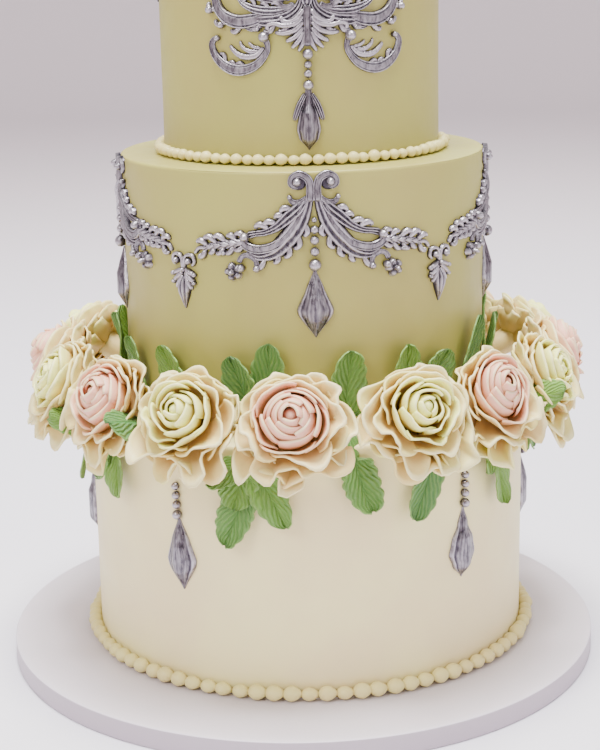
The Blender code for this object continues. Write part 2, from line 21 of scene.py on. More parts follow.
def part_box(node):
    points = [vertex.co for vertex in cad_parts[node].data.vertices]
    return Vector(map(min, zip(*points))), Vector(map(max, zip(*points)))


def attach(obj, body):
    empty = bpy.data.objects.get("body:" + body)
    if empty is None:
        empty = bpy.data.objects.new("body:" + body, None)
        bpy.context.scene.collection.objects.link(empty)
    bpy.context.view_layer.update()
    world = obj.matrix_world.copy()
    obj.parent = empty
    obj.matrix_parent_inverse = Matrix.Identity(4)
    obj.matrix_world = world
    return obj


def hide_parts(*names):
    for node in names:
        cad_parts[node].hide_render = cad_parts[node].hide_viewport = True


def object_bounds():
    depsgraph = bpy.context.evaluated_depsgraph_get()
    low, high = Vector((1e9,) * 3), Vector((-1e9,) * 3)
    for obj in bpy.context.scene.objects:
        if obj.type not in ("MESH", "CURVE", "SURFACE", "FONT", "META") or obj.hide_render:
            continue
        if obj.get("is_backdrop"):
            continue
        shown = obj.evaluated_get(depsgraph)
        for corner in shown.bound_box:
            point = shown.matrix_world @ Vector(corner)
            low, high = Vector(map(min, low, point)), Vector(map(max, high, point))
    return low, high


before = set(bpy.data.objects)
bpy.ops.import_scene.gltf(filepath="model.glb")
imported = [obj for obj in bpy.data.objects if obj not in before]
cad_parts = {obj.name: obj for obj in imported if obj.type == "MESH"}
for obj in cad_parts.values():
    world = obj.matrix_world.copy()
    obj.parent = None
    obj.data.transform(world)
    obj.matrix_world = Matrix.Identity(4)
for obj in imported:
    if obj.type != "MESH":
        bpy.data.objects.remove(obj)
CAD_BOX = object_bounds()

LOG = logging.getLogger("tiered_cake")
MM = 0.001
BODY = "root"
BEAD_SEED = 41

Colour = tuple[float, float, float]
Path = Sequence[tuple[float, float, float]]
Values = dict[str, float]
Placed = tuple[Vector, Values]
FlatMap = Callable[[float, float, float], Vector]

# A rule gives the place and the values of a patch's point from s, -1 to 1 across, and t, 0 to 1 along. The
# rule of a ball gives them from the point's direction.
Rule = Callable[[float, float], Placed]
WayRule = Callable[[Vector], Placed]


# Shader maths

class Term:
    """A shader socket that takes part in Python arithmetic."""

    def __init__(self, graph: "Graph", socket: bpy.types.NodeSocket) -> None:
        """Wrap an output socket of a node tree."""
        self.graph = graph
        self.socket = socket

    def maths(self, operation: str, *others: "Term | float") -> "Term":
        """Combine this value with others by one operation of the Math node."""
        return self.graph.node("ShaderNodeMath", {"operation": operation}, dict(enumerate((self, *others))))

    def __add__(self, other: "Term | float") -> "Term":
        """This value plus another."""
        return self.maths("ADD", other)

    def __sub__(self, other: "Term | float") -> "Term":
        """This value less another."""
        return self.maths("SUBTRACT", other)

    def __mul__(self, other: "Term | float") -> "Term":
        """This value times another."""
        return self.maths("MULTIPLY", other)

    def __rsub__(self, other: float) -> "Term":
        """A number less this value."""
        return (self * -1.0).maths("ADD", other)

    __radd__ = __add__
    __rmul__ = __mul__

    def between(self, low: float, high: float) -> "Term":
        """Step smoothly from 0 to 1.

        Args:
            low: The value up to which the result is 0.
            high: The value from which it is 1.

        Returns:
            The step.
        """
        settings = {"interpolation_type": "SMOOTHSTEP"}
        values = {"Value": self, "From Min": low, "From Max": high}
        return self.graph.node("ShaderNodeMapRange", settings, values)


class Graph:
    """The node tree of one material, with its Principled shader."""

    def __init__(self, name: str) -> None:
        """Start a material that has a Principled shader and nothing else.

        Args:
            name: The material's name.
        """
        self.material = bpy.data.materials.new(name)
        self.material.use_nodes = True
        self.tree = self.material.node_tree
        self.shader = self.tree.nodes["Principled BSDF"]

    def feed(self, socket: bpy.types.NodeSocket, value: object) -> None:
        """Link a term into a socket, or set the socket to a constant.

        Args:
            socket: An input socket.
            value: A term, a colour or another constant.
        """
        if isinstance(value, Term):
            self.tree.links.new(value.socket, socket)
        elif socket.type == "RGBA":
            socket.default_value = (*value, 1.0)
        else:
            socket.default_value = value

    def node(
        self,
        kind: str,
        settings: dict[str, object] | None = None,
        values: dict[str | int, object] | None = None,
        output: str | int = 0,
    ) -> Term:
        """Add a node.

        Args:
            kind: The node's type name.
            settings: Its properties.
            values: What its input sockets take, by name or number.
            output: The socket to return.

        Returns:
            The output as a term.
        """
        made = self.tree.nodes.new(kind)
        for key, value in (settings or {}).items():
            setattr(made, key, value)
        for key, value in (values or {}).items():
            self.feed(made.inputs[key], value)
        return Term(self, made.outputs[output])

    def place(self, stretch: tuple[float, float, float] = (1.0, 1.0, 1.0)) -> Term:
        """The object coordinates, stretched."""
        where = self.node("ShaderNodeTexCoord", output="Object")
        return self.node("ShaderNodeMapping", None, {"Vector": where, "Scale": stretch})

    def noise(self, scale: float, detail: float = 2.0, where: Term | None = None) -> Term:
        """Noise with a scale in cells per metre, at where or at the object coordinates."""
        values = {"Vector": where or self.place(), "Scale": scale, "Detail": detail}
        return self.node("ShaderNodeTexNoise", None, values)

    def value(self, name: str) -> Term:
        """A value that the mesh carries on its points."""
        return self.node("ShaderNodeAttribute", {"attribute_name": name}, None, "Fac")

    def mix(self, factor: Term | float, first: Term | Colour, second: Term | Colour) -> Term:
        """A colour from first, where factor is 0, to second, where it is 1."""
        colour_inputs = {0: factor, 6: first, 7: second}
        return self.node("ShaderNodeMix", {"data_type": "RGBA"}, colour_inputs, 2)

    def bump(self, height: Term, distance: float, under: Term | None = None) -> Term:
        """Bend the normal by a height.

        Args:
            height: The height, of about 0 to 1.
            distance: What 1 stands for in metres.
            under: A coarser normal that this one lies over.

        Returns:
            The normal.
        """
        values = {"Height": height, "Distance": distance}
        if under:
            values["Normal"] = under
        return self.node("ShaderNodeBump", None, values, "Normal")

    def finish(self, **inputs: object) -> bpy.types.Material:
        """Feed the Principled shader, by names such as base_color, and return the material."""
        for key, value in inputs.items():
            self.feed(self.shader.inputs[key.replace("_", " ").title()], value)
        return self.material


# Finishes

@dataclass(frozen=True)
class IcingFinish:
    """Smooth rolled icing: a soft sheen, faint clouds of tone and a hand-smoothed surface."""

    name: str
    colour: Colour
    cloud: Colour
    roughness: float = 0.46
    dents: float = 0.0009
    pores: float = 0.00006
    cloud_scale: float = 14.0
    dent_scale: float = 38.0
    pore_scale: float = 900.0

    def build(self) -> bpy.types.Material:
        """Make the material."""
        graph = Graph(self.name)
        clouds = graph.noise(self.cloud_scale, 3.0).between(0.35, 0.68)
        tone = graph.mix(clouds, self.colour, self.cloud)
        dents = graph.bump(graph.noise(self.dent_scale), self.dents)
        pores = graph.bump(graph.noise(self.pore_scale), self.pores, dents)
        sheen = graph.noise(60.0, 3.0).between(0.2, 0.8) * 0.12 + (self.roughness - 0.06)
        return graph.finish(
            base_color=tone, roughness=sheen, normal=pores, subsurface_weight=0.12,
            subsurface_radius=(1.0, 0.7, 0.4), subsurface_scale=0.004,
        )


@dataclass(frozen=True)
class PetalFinish:
    """Sugar petals: a tinted heart and cream rims, with painted shade, warm and dark, down in the folds, and
    pale rims that are partly a painted highlight.
    """

    name: str
    heart: Colour
    cream: Colour
    # depth is the colour of the painted shade down in the petals' folds.
    depth: Colour
    blush: Colour
    # edge is the colour of the pale rims: partly the petals' own pale edge, partly a painted highlight.
    edge: Colour = (0.88, 0.80, 0.46)
    cloud_scale: float = 160.0
    skin_scale: float = 420.0
    skin: float = 0.00012

    def build(self) -> bpy.types.Material:
        """Make the material."""
        graph = Graph(self.name)
        clouds = graph.noise(self.cloud_scale)
        bloom = (graph.value("bloom") + clouds * 0.16 - 0.08).between(0.30, 0.80)
        petal = graph.mix(bloom, self.heart, self.cream)
        rim_tint = graph.value("tint") * graph.value("reach").between(0.45, 1.0)
        petal = graph.mix(rim_tint, petal, self.blush)
        # Painted shade: the petals darken towards their feet, down in the folds where they shade each other.
        fold = (1.0 - graph.value("reach")).between(0.04, 0.62) * 0.85
        petal = graph.mix(fold, petal, self.depth)
        # Pale rims: partly the petals' own pale edge, partly a painted highlight.
        petal = graph.mix(graph.value("reach").between(0.92, 1.0) * 0.55, petal, self.edge)
        skin = graph.bump(graph.noise(self.skin_scale, 3.0), self.skin)
        return graph.finish(
            base_color=petal, roughness=0.52, normal=skin, subsurface_weight=0.22,
            subsurface_radius=(1.0, 0.65, 0.4), subsurface_scale=0.003,
        )


@dataclass(frozen=True)
class LeafFinish:
    """Piped green icing with combed veins, from blue green to yellow green."""

    name: str
    cool: Colour
    warm: Colour
    rim: Colour
    streak_scale: float = 260.0
    veins: float = 6.5
    relief: float = 0.0009

    def build(self) -> bpy.types.Material:
        """Make the material."""
        graph = Graph(self.name)
        side = graph.value("across").maths("ABSOLUTE")
        streaks = graph.noise(self.streak_scale, 3.0)
        rows = (graph.value("along") * self.veins - side * 3.4 + streaks * 0.5).maths("PINGPONG", 0.5) * 2.0
        midrib = side.between(0.0, 0.10)
        veins = rows * midrib
        leaf = graph.mix(graph.value("tone"), self.cool, self.warm)
        leaf = graph.mix((streaks * 0.5 + veins * 0.5).between(0.25, 0.75) * 0.35, leaf, self.rim)
        leaf = graph.mix(side.between(0.82, 1.0) * 0.55, leaf, self.rim)
        relief = graph.bump(veins + streaks * 0.35, self.relief)
        return graph.finish(
            base_color=leaf, roughness=0.50, normal=relief, subsurface_weight=0.10,
            subsurface_radius=(0.6, 1.0, 0.4), subsurface_scale=0.003,
        )


@dataclass(frozen=True)
class SilverFinish:
    """Edible silver paint over sugar paste, with a painted highlight on the crests and painted shade in the
    hollows.
    """

    name: str
    # crest is the colour of the painted highlight, and the hollow colour is the painted shade's.
    crest: Colour
    hollow_shade: Colour
    brush_scale: float = 520.0
    brush_depth: float = 0.00045

    def build(self) -> bpy.types.Material:
        """Make the material."""
        graph = Graph(self.name)
        brushed = graph.noise(self.brush_scale, 4.0, graph.place((1.0, 1.0, 0.35)))
        # Painted light: the relief value gives painted shade in the hollows and a painted highlight on the
        # crests, and the brush noise gives the strokes' own tone.
        painted_light = (graph.value("relief") + brushed * 0.9 - 0.45).between(0.08, 1.02)
        tone = graph.mix(painted_light, self.hollow_shade, self.crest)
        rough = brushed.between(0.3, 0.75) * 0.20 + 0.24
        return graph.finish(
            base_color=tone, metallic=0.85, roughness=rough, normal=graph.bump(brushed, self.brush_depth),
        )


@dataclass(frozen=True)
class FoilFinish:
    """The pale foil paper of a drum board, faintly embossed."""

    name: str
    colour: Colour
    cloud: Colour
    # side is the colour of the painted shade round the board's side.
    side: Colour
    face: float
    emboss_scale: float = 420.0
    emboss_depth: float = 0.00006

    def build(self) -> bpy.types.Material:
        """Make the material: the paper round the side, below the face's height, is painted darker as painted
        shade.
        """
        graph = Graph(self.name)
        clouds = graph.noise(11.0, 2.0).between(0.3, 0.7)
        tone = graph.mix(clouds, self.colour, self.cloud)
        height = graph.node("ShaderNodeSeparateXYZ", None, {"Vector": graph.place()}, "Z")
        # Painted shade: the board's side, below its face, takes the darker side colour.
        tone = graph.mix(height.between(self.face - 0.0007, self.face - 0.0002), self.side, tone)
        emboss = graph.node("ShaderNodeTexVoronoi", None, {
            "Vector": graph.place(), "Scale": self.emboss_scale})
        return graph.finish(
            base_color=tone, roughness=graph.noise(40.0).between(0.2, 0.8) * 0.10 + 0.40,
            normal=graph.bump(emboss, self.emboss_depth),
        )


# Mesh building

class Shape:
    """A mesh under construction, made of patches and balls that carry named values on their points."""

    def __init__(self, name: str, values: tuple[str, ...] = ()) -> None:
        """Start an empty mesh.

        Args:
            name: The piece's name.
            values: Names of the values that its points carry for the material.
        """
        self.name = name
        self.work = bmesh.new()
        self.layers = {key: self.work.verts.layers.float.new(key) for key in values}

    def set(self, vert: bmesh.types.BMVert, place: Vector, values: Values) -> None:
        """Put a point in its place with its values.

        Args:
            vert: The point.
            place: Its place.
            values: The values that it carries, by name.
        """
        vert.co = place
        for key, value in values.items():
            vert[self.layers[key]] = value

    def patch(self, across: int, along: int, rule: Rule) -> None:
        """Add a grid of points.

        Args:
            across: Its cells across.
            along: Its cells along.
            rule: A point's place and values from s, -1 to 1 across, and t, 0 to 1 along.
        """
        made = bmesh.ops.create_grid(self.work, x_segments=across, y_segments=along, size=1.0)
        for vert in made["verts"]:
            self.set(vert, *rule(vert.co.x, (vert.co.y + 1.0) / 2.0))

    def ball(self, segments: int, rings: int, rule: WayRule) -> None:
        """Add a ball, as a patch that wraps round it.

        Args:
            segments: Its cells round.
            rings: Its cells from pole to pole.
            rule: A point's place and values from its direction.
        """
        def wrap(s: float, t: float) -> Placed:
            """Turn the patch's s and t into a direction."""
            around = math.pi * (s if s > -1.0 else 1.0)
            rise = math.pi * (t - 0.5)
            level = 0.0 if t in (0.0, 1.0) else math.cos(rise)
            return rule(Vector((level * math.cos(around), level * math.sin(around), math.sin(rise))))

        self.patch(segments, rings, wrap)

    def build(
        self, material: bpy.types.Material, nodes: Sequence[str], slot: str, thickness: float = 0.0,
    ) -> bpy.types.Object:
        """Turn the mesh into a piece of the cake.

        Args:
            material: Its finish.
            nodes: The solids that it stands for.
            slot: Not used.
            thickness: The thickness that open sheets are given.

        Returns:
            The piece, riding on the cake.
        """
        bmesh.ops.remove_doubles(self.work, verts=self.work.verts, dist=1e-7)
        bmesh.ops.recalc_face_normals(self.work, faces=self.work.faces)
        mesh = bpy.data.meshes.new(self.name)
        self.work.to_mesh(mesh)
        self.work.free()
        mesh.materials.append(material)
        mesh.shade_smooth()
        piece = bpy.data.objects.new(self.name, mesh)
        bpy.context.scene.collection.objects.link(piece)
        if thickness:
            solid = piece.modifiers.new("Thickness", "SOLIDIFY")
            solid.thickness = thickness
            solid.offset = 0.0
            solid.use_even_offset = False
        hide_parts(*nodes)
        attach(piece, BODY)
        LOG.info("%s: %d faces", piece.name, len(mesh.polygons))
        return piece


def turned(name: str, profile: Sequence[tuple[float, float]], steps: int) -> Shape:
    """Spin a profile about Z.

    Args:
        name: The piece's name.
        profile: Its (radius, height) points from top to bottom.
        steps: The steps of the turn.

    Returns:
        The shape.
    """
    shape = Shape(name)
    verts = [shape.work.verts.new((radius, 0.0, height)) for radius, height in profile]
    edges = [shape.work.edges.new(pair) for pair in zip(verts, verts[1:])]
    bmesh.ops.spin(
        shape.work, geom=[*verts, *edges], cent=(0.0, 0.0, 0.0), axis=(0.0, 0.0, 1.0),
        angle=math.tau, steps=steps, use_merge=True,
    )
    bmesh.ops.remove_doubles(shape.work, verts=shape.work.verts, dist=1e-6)
    return shape


def curve(stations: Path, step: float) -> list[tuple[float, float, float]]:
    """Draw a smooth line through stations.

    Args:
        stations: Its (x, y, half width) in mm.
        step: The distance from point to point in mm.

    Returns:
        The line's points, as (x, y, half width) in mm.
    """
    points = []
    last = len(stations) - 1
    for index in range(last):
        around = [Vector(stations[max(0, min(last, index + k))]) for k in (-1, 0, 1, 2)]
        before, start, end, after = around
        pieces = max(1, round((end - start).length / step))
        for piece in range(pieces):
            share = piece / pieces
            swing = (end - before) * 0.5, (after - start) * 0.5
            cube, square = share ** 3, share ** 2
            points.append(tuple(
                start * (2 * cube - 3 * square + 1) + swing[0] * (cube - 2 * square + share)
                + end * (3 * square - 2 * cube) + swing[1] * (cube - square)
            ))
    points.append(tuple(stations[last]))
    return points


def spiral(
    centre: tuple[float, float], radius: float, start_deg: float, sweep_deg: float, half_width: float,
) -> Path:
    """Wind a volute in from its rim to the boss at its centre.

    Args:
        centre: The boss in mm.
        radius: The rim's distance from it in mm.
        start_deg: Where the rim starts.
        sweep_deg: How far it winds.
        half_width: Half the width at the rim in mm.

    Returns:
        Its stations.
    """
    steps = max(4, round(abs(sweep_deg) / 40))
    stations = []
    for step in range(steps + 1):
        share = step / steps
        angle = math.radians(start_deg + sweep_deg * share)
        away = radius * (1.0 - 0.80 * share)
        stations.append((
            centre[0] + away * math.cos(angle), centre[1] + away * math.sin(angle),
            half_width * (1.0 - 0.35 * share),
        ))
    return tuple(stations)


@dataclass(frozen=True)
class Wall:
    """A spot on a tier's side where a flat ornament lies: x runs round the tier, y up and z outwards."""

    radius: float
    azimuth_deg: float
    height: float
    stretch: float = 1.0
    lean_deg: float = 0.0
    wraps: bool = True

    def place(self, x: float, y: float, out: float) -> Vector:
        """Lay a point of an ornament on the wall.

        Args:
            x: Its distance round the tier in mm.
            y: Its height in mm.
            out: Its distance out in mm.

        Returns:
            The point in the cake's frame.
        """
        lean = math.radians(self.lean_deg)
        across = (x * math.cos(lean) - y * math.sin(lean)) * MM * self.stretch
        up = self.height + (x * math.sin(lean) + y * math.cos(lean)) * MM
        turn = math.radians(self.azimuth_deg)
        away = self.radius + out * MM
        if self.wraps:
            turn += across / self.radius
            return Vector((away * math.sin(turn), -away * math.cos(turn), up))
        return Vector((
            across * math.cos(turn) + away * math.sin(turn),
            across * math.sin(turn) - away * math.cos(turn),
            up,
        ))


# Silver ornaments

class Section(Enum):
    """How the face of a stroke is carved."""

    ROUND = "round"
    CHANNEL = "channel"
    REEDS = "reeds"
    LEAF = "leaf"

    def carve(self, s: float, t: float, lobes: float) -> float:
        """Shape the face.

        Args:
            s: -1 to 1 across.
            t: 0 to 1 along.
            lobes: How many lobes a leaf has.

        Returns:
            The share of the full height.
        """
        side = abs(s)
        if self is Section.CHANNEL:
            rim = math.exp(-((side - 0.86) / 0.11) ** 2)
            crease = math.exp(-((side - 0.62) / 0.09) ** 2)
            return 0.74 + 0.26 * rim - 0.20 * crease
        if self is Section.REEDS:
            return 0.76 + 0.24 * math.cos(3.0 * math.tau * side / 2.0)
        if self is Section.LEAF:
            row = abs(math.sin(math.pi * lobes * (t - 0.20 * side)))
            spine = math.exp(-(side / 0.16) ** 2)
            return min(1.0, 0.50 + 0.50 * row ** 0.7 * min(1.0, side * 3.5) + 0.45 * spine)
        return 1.0


@dataclass(frozen=True)
class Stroke:
    """One scroll, leaf or band of a silver ornament, along stations of (x, y, half width) in mm."""

    stations: Path
    section: Section = Section.REEDS
    height: float = 0.9
    lobes: float = 5.0
    step: float = 0.55
    across: int = 12

    def width_share(self, t: float) -> float:
        """Lobe the edge of a leaf.

        Args:
            t: 0 to 1 along.

        Returns:
            How far the edge reaches.
        """
        if self.section is not Section.LEAF:
            return 1.0
        return 0.78 + 0.34 * abs(math.sin(math.pi * self.lobes * (t - 0.20))) ** 0.6

    def add_to(self, shape: Shape, wall: Wall, side: float = 1.0) -> None:
        """Add the stroke to a shape.

        Args:
            shape: The ornament under construction.
            wall: Where the ornament lies.
            side: 1, or -1 for its mirror image.
        """
        points = curve(self.stations, self.step)
        last = len(points) - 1
        gone = [0.0]
        for first, second in zip(points, points[1:]):
            gone.append(gone[-1] + math.dist(first[:2], second[:2]))
        length = gone[-1]

        def rule(s: float, t: float) -> Placed:
            """Place a point of the stroke's domed face."""
            index = round(t * last)
            x, y, half = points[index]
            ahead, behind = points[min(last, index + 1)], points[max(0, index - 1)]
            run = Vector((ahead[0] - behind[0], ahead[1] - behind[1])).normalized()
            cap = max(0.3, min(half, 0.3 * length))
            end = min(1.0, min(gone[index], length - gone[index]) / cap)
            round_off = math.sqrt(max(0.0, 1.0 - (1.0 - end) ** 2))
            share = gone[index] / length
            offset = s * half * round_off * self.width_share(share)
            dome = math.sqrt(max(0.0, 1.0 - abs(s) ** (6.0 if self.section is Section.CHANNEL else 3.2)))
            carved = self.section.carve(s, share, self.lobes)
            out = self.height * half * round_off * dome * carved
            # relief is painted light: a painted highlight on the carving's crests, painted shade at the
            # stroke's edges and in its grooves.
            relief = dome ** 0.5 * (carved - 0.45) / 0.55
            place = wall.place(side * (x - run.y * offset), y + run.x * offset, out - 0.5 * (dome < 0.01))
            return place, {"relief": max(0.0, relief)}

        shape.patch(self.across, last, rule)


def fronds(
    path: Path, side: float, count: int, span: tuple[float, float], length: float, half_width: float,
) -> list[Stroke]:
    """Short curled leaves along one edge of a band.

    Args:
        path: The band's stations.
        side: 1 for the left edge along the path, or -1 for the right.
        count: How many leaves.
        span: The shares of the path between which they grow.
        length: Their length in mm.
        half_width: Half their width in mm.

    Returns:
        The leaves, from the first to the last.
    """
    points = curve(path, 0.5)
    made = []
    for number in range(count):
        share = span[0] + (span[1] - span[0]) * number / max(1, count - 1)
        index = min(len(points) - 2, round(share * (len(points) - 1)))
        x, y, half = points[index]
        run = Vector((points[index + 1][0] - x, points[index + 1][1] - y)).normalized()
        aside = Vector((-run.y, run.x)) * side
        foot = Vector((x, y)) + aside * (0.4 * half)
        reach = length * (0.80 + 0.45 * abs(math.sin(2.3 * number + 0.7 * side)))
        steps = ((0.0, 0.0, 0.6), (0.46, 0.34, 1.0), (0.80, 0.72, 1.1), (0.74, 1.14, 0.9), (0.44, 1.20, 0.7))
        stations = []
        for away, ahead, wide in steps:
            spot = foot + (aside * away + run * ahead) * reach
            stations.append((spot.x, spot.y, half_width * wide))
        made.append(Stroke(stations, Section.ROUND, 1.45))
    return made


def add_boss(
    shape: Shape, wall: Wall, x: float, y: float, radius: float, rise: float = 0.9, painted_light: float = 0.35,
) -> None:
    """Add a round bead or boss.

    Args:
        shape: The ornament under construction.
        wall: Where the ornament lies.
        x: The middle in mm.
        y: The middle in mm.
        radius: The radius in mm.
        rise: The height as a share of the radius.
        painted_light: How bright the painted light is at its foot, where painted shade falls next to the wall.
    """
    def rule(way: Vector) -> Placed:
        """Place a point of the boss."""
        out = radius * rise * (0.55 + way.z)
        # The relief value is painted light: painted shade at the boss's foot, a painted highlight on its top.
        return wall.place(x + radius * way.x, y + radius * way.y, out), {"relief": painted_light + 0.6 * way.z}

    shape.ball(12, 8, rule)


def add_blossom(shape: Shape, wall: Wall, x: float, y: float, radius: float, petals: int) -> None:
    """Add a small moulded blossom with a boss in its middle.

    Args:
        shape: The ornament under construction.
        wall: Where the ornament lies.
        x: The middle in mm.
        y: The middle in mm.
        radius: The radius in mm.
        petals: How many petals.
    """
    def rule(s: float, t: float) -> Placed:
        """Place a point of the petals, which dip at their joints."""
        angle = math.pi * s
        lobe = abs(math.sin(petals * angle / 2.0))
        reach = radius * t * (0.72 + 0.28 * lobe ** 0.6)
        cup = 1.5 + 1.9 * math.sin(math.pi * min(1.0, t * 0.95)) * (0.55 + 0.45 * lobe)
        out = cup if t < 0.999 else 0.0
        place = wall.place(x + reach * math.cos(angle), y + reach * math.sin(angle), out)
        # Painted light: painted shade at the petals' joints and near the middle, a painted highlight out on
        # the lobes.
        return place, {"relief": lobe * t + 0.1}

    shape.patch(6 * petals, 6, rule)
    add_boss(shape, wall, x, y, 0.32 * radius, 2.6)


@dataclass(frozen=True)
class Ornament:
    """A silver ornament: subclasses say what lies on the wall."""

    node: str
    wall: Wall

    def carve(self, shape: Shape) -> None:
        """Add the ornament's relief to a shape."""
        raise NotImplementedError

    def both_sides(self, shape: Shape, strokes: Sequence[Stroke]) -> None:
        """Add strokes and their mirror images.

        Args:
            shape: The ornament under construction.
            strokes: The strokes of the side where x is positive.
        """
        for stroke in strokes:
            for side in (1.0, -1.0):
                stroke.add_to(shape, self.wall, side)

    def build(self, finish: bpy.types.Material) -> bpy.types.Object:
        """Carve the piece and paint it.

        Args:
            finish: The paint.

        Returns:
            The piece.
        """
        shape = Shape(f"{self.node}_relief", ("relief",))
        self.carve(shape)
        return shape.build(finish, [self.node], "silver_paint")


@dataclass(frozen=True)
class Swag(Ornament):
    """A pair of leafy arms that spring from one joint, each with a volute, a branch and a blossom."""

    scroll: Path = (
        (2.2, -9.0, 2.4), (1.8, -1.0, 2.2), (3.2, 3.8, 2.1), (7.4, 6.0, 2.0), (11.2, 4.4, 1.8),
        (12.0, 1.0, 1.6), (9.8, -0.8, 1.3), (7.6, 0.8, 1.1),
    )
    band: Path = (
        (2.4, -5.0, 2.2), (4.4, -12.0, 3.8), (8.4, -21.0, 5.0), (14.6, -29.0, 5.4), (22.0, -35.6, 4.6),
        (30.0, -38.0, 2.8), (36.5, -35.4, 1.6),
    )
    trough: Path = (
        (5.6, -11.5, 1.2), (10.2, -21.4, 2.0), (16.5, -28.8, 2.4), (23.8, -33.0, 2.5), (31.6, -34.0, 2.4),
        (37.2, -31.6, 2.3), (39.8, -27.6, 2.0),
    )
    branch: Path = (
        (4.4, -7.5, 2.0), (8.6, -12.4, 3.6), (14.0, -17.0, 3.8), (20.0, -22.0, 2.8), (26.0, -24.8, 2.2),
        (32.0, -25.8, 2.0), (36.4, -27.0, 2.6),
    )
    curl: Path = ((2.6, -6.0, 1.5), (7.2, -9.0, 1.8), (11.4, -8.6, 1.5), (13.0, -6.0, 1.2))
    cluster: Path = (
        (36.0, -30.6, 2.0), (42.0, -30.8, 2.6), (49.0, -32.2, 2.4), (57.0, -33.6, 2.0), (63.0, -35.2, 1.6),
    )
    tendril: Path = ((60.0, -34.6, 1.2), (65.4, -35.2, 1.2), (68.0, -38.6, 1.1))
    arch: Path = (
        (31.2, -44.4, 1.6), (31.8, -40.4, 1.3), (35.6, -37.6, 1.5), (39.6, -38.6, 1.4), (41.4, -42.0, 1.5),
    )

    def carve(self, shape: Shape) -> None:
        """Add both arms, the beads in their curls and the blossoms that hang from them.

        Args:
            shape: The ornament under construction.
        """
        self.both_sides(shape, (
            *fronds(self.band, -1.0, 5, (0.28, 0.80), 4.6, 1.6),
            *fronds(self.branch, 1.0, 4, (0.22, 0.66), 4.2, 1.7),
            Stroke(self.band, Section.REEDS, 0.62, across=20),
            Stroke(self.branch, Section.REEDS, 1.0, across=16),
            Stroke(self.trough, Section.CHANNEL, 1.6, across=16),
            Stroke(self.scroll, Section.CHANNEL, 1.6, across=16),
            Stroke(self.curl, Section.CHANNEL, 1.5),
            *fronds(self.cluster, 1.0, 5, (0.02, 0.86), 4.6, 1.6),
            *fronds(self.cluster, -1.0, 5, (0.10, 0.90), 3.8, 1.5),
            Stroke(self.cluster, Section.LEAF, 1.2, 6.0, across=16),
            Stroke(self.tendril, Section.ROUND, 1.4),
            Stroke(self.arch, Section.CHANNEL, 1.4),
        ))
        for side in (1.0, -1.0):
            add_boss(shape, self.wall, side * 8.0, 1.8, 4.4, 0.26, -0.35)
            for x, y, radius in ((8.8, 2.0, 2.3), (12.8, -6.0, 1.4), (31.0, -44.6, 2.1), (39.6, -44.6, 2.3),
                                 (37.0, -27.6, 2.6), (49.4, -36.8, 1.5), (63.8, -39.0, 1.3)):
                add_boss(shape, self.wall, side * x, y, radius, 1.5)
            add_blossom(shape, self.wall, side * 44.4, -46.8, 5.4, 5)


@dataclass(frozen=True)
class Fleur(Ornament):
    """A pointed lobe under a leafy fan and a pair of small volutes."""

    lobe: Path = ((0.0, -9.0, 2.0), (0.0, -14.0, 4.2), (0.0, -18.5, 3.9), (0.0, -27.4, 0.4))
    volute: Path = (
        (0.2, -5.0, 1.2), (0.9, 0.4, 1.2), (3.2, 2.8, 1.2), (6.6, 2.4, 1.1), (7.6, -1.0, 1.0),
        (5.6, -3.2, 0.9),
    )
    fans: Sequence[Path] = (
        ((0.6, -5.0, 1.1), (4.0, -6.6, 1.5), (7.4, -8.0, 1.3)),
        ((0.6, -6.6, 1.1), (3.8, -9.4, 1.6), (7.2, -12.2, 1.3)),
        ((0.6, -8.2, 1.0), (3.2, -12.4, 1.5), (5.6, -16.4, 1.0)),
    )

    def carve(self, shape: Shape) -> None:
        """Add the lobe, the fan and the volutes with their beads.

        Args:
            shape: The ornament under construction.
        """
        Stroke(self.lobe, Section.REEDS, 0.8, across=16).add_to(shape, self.wall)
        self.both_sides(shape, (
            Stroke(self.volute, Section.ROUND, 1.7),
            *(Stroke(path, Section.ROUND, 1.5) for path in self.fans),
        ))
        for side in (1.0, -1.0):
            add_boss(shape, self.wall, side * 4.2, -0.6, 1.9, 1.5)
            add_boss(shape, self.wall, side * 7.6, -8.0, 1.4, 1.3)
            add_boss(shape, self.wall, side * 7.2, -12.6, 1.4, 1.3)
        add_boss(shape, self.wall, 0.0, -5.6, 1.5, 1.8)


@dataclass(frozen=True)
class DropForm:
    """A bead chain that ends in a kite or a teardrop, in mm."""

    beads: Sequence[tuple[float, float]]
    outline: Sequence[tuple[float, float]]
    bulge: float
    roundness: float
    leaves: bool = False

    def half_width(self, height: float) -> float:
        """Measure the drop between the stations of its outline.

        Args:
            height: A height in mm.

        Returns:
            Half the width there in mm.
        """
        for (upper, wide), (lower, narrow) in zip(self.outline, self.outline[1:]):
            if height >= lower:
                share = (upper - height) / (upper - lower)
                soft = share * (1.0 - self.roundness) + self.roundness * share * share * (3.0 - 2.0 * share)
                return wide + (narrow - wide) * soft
        return self.outline[-1][1]


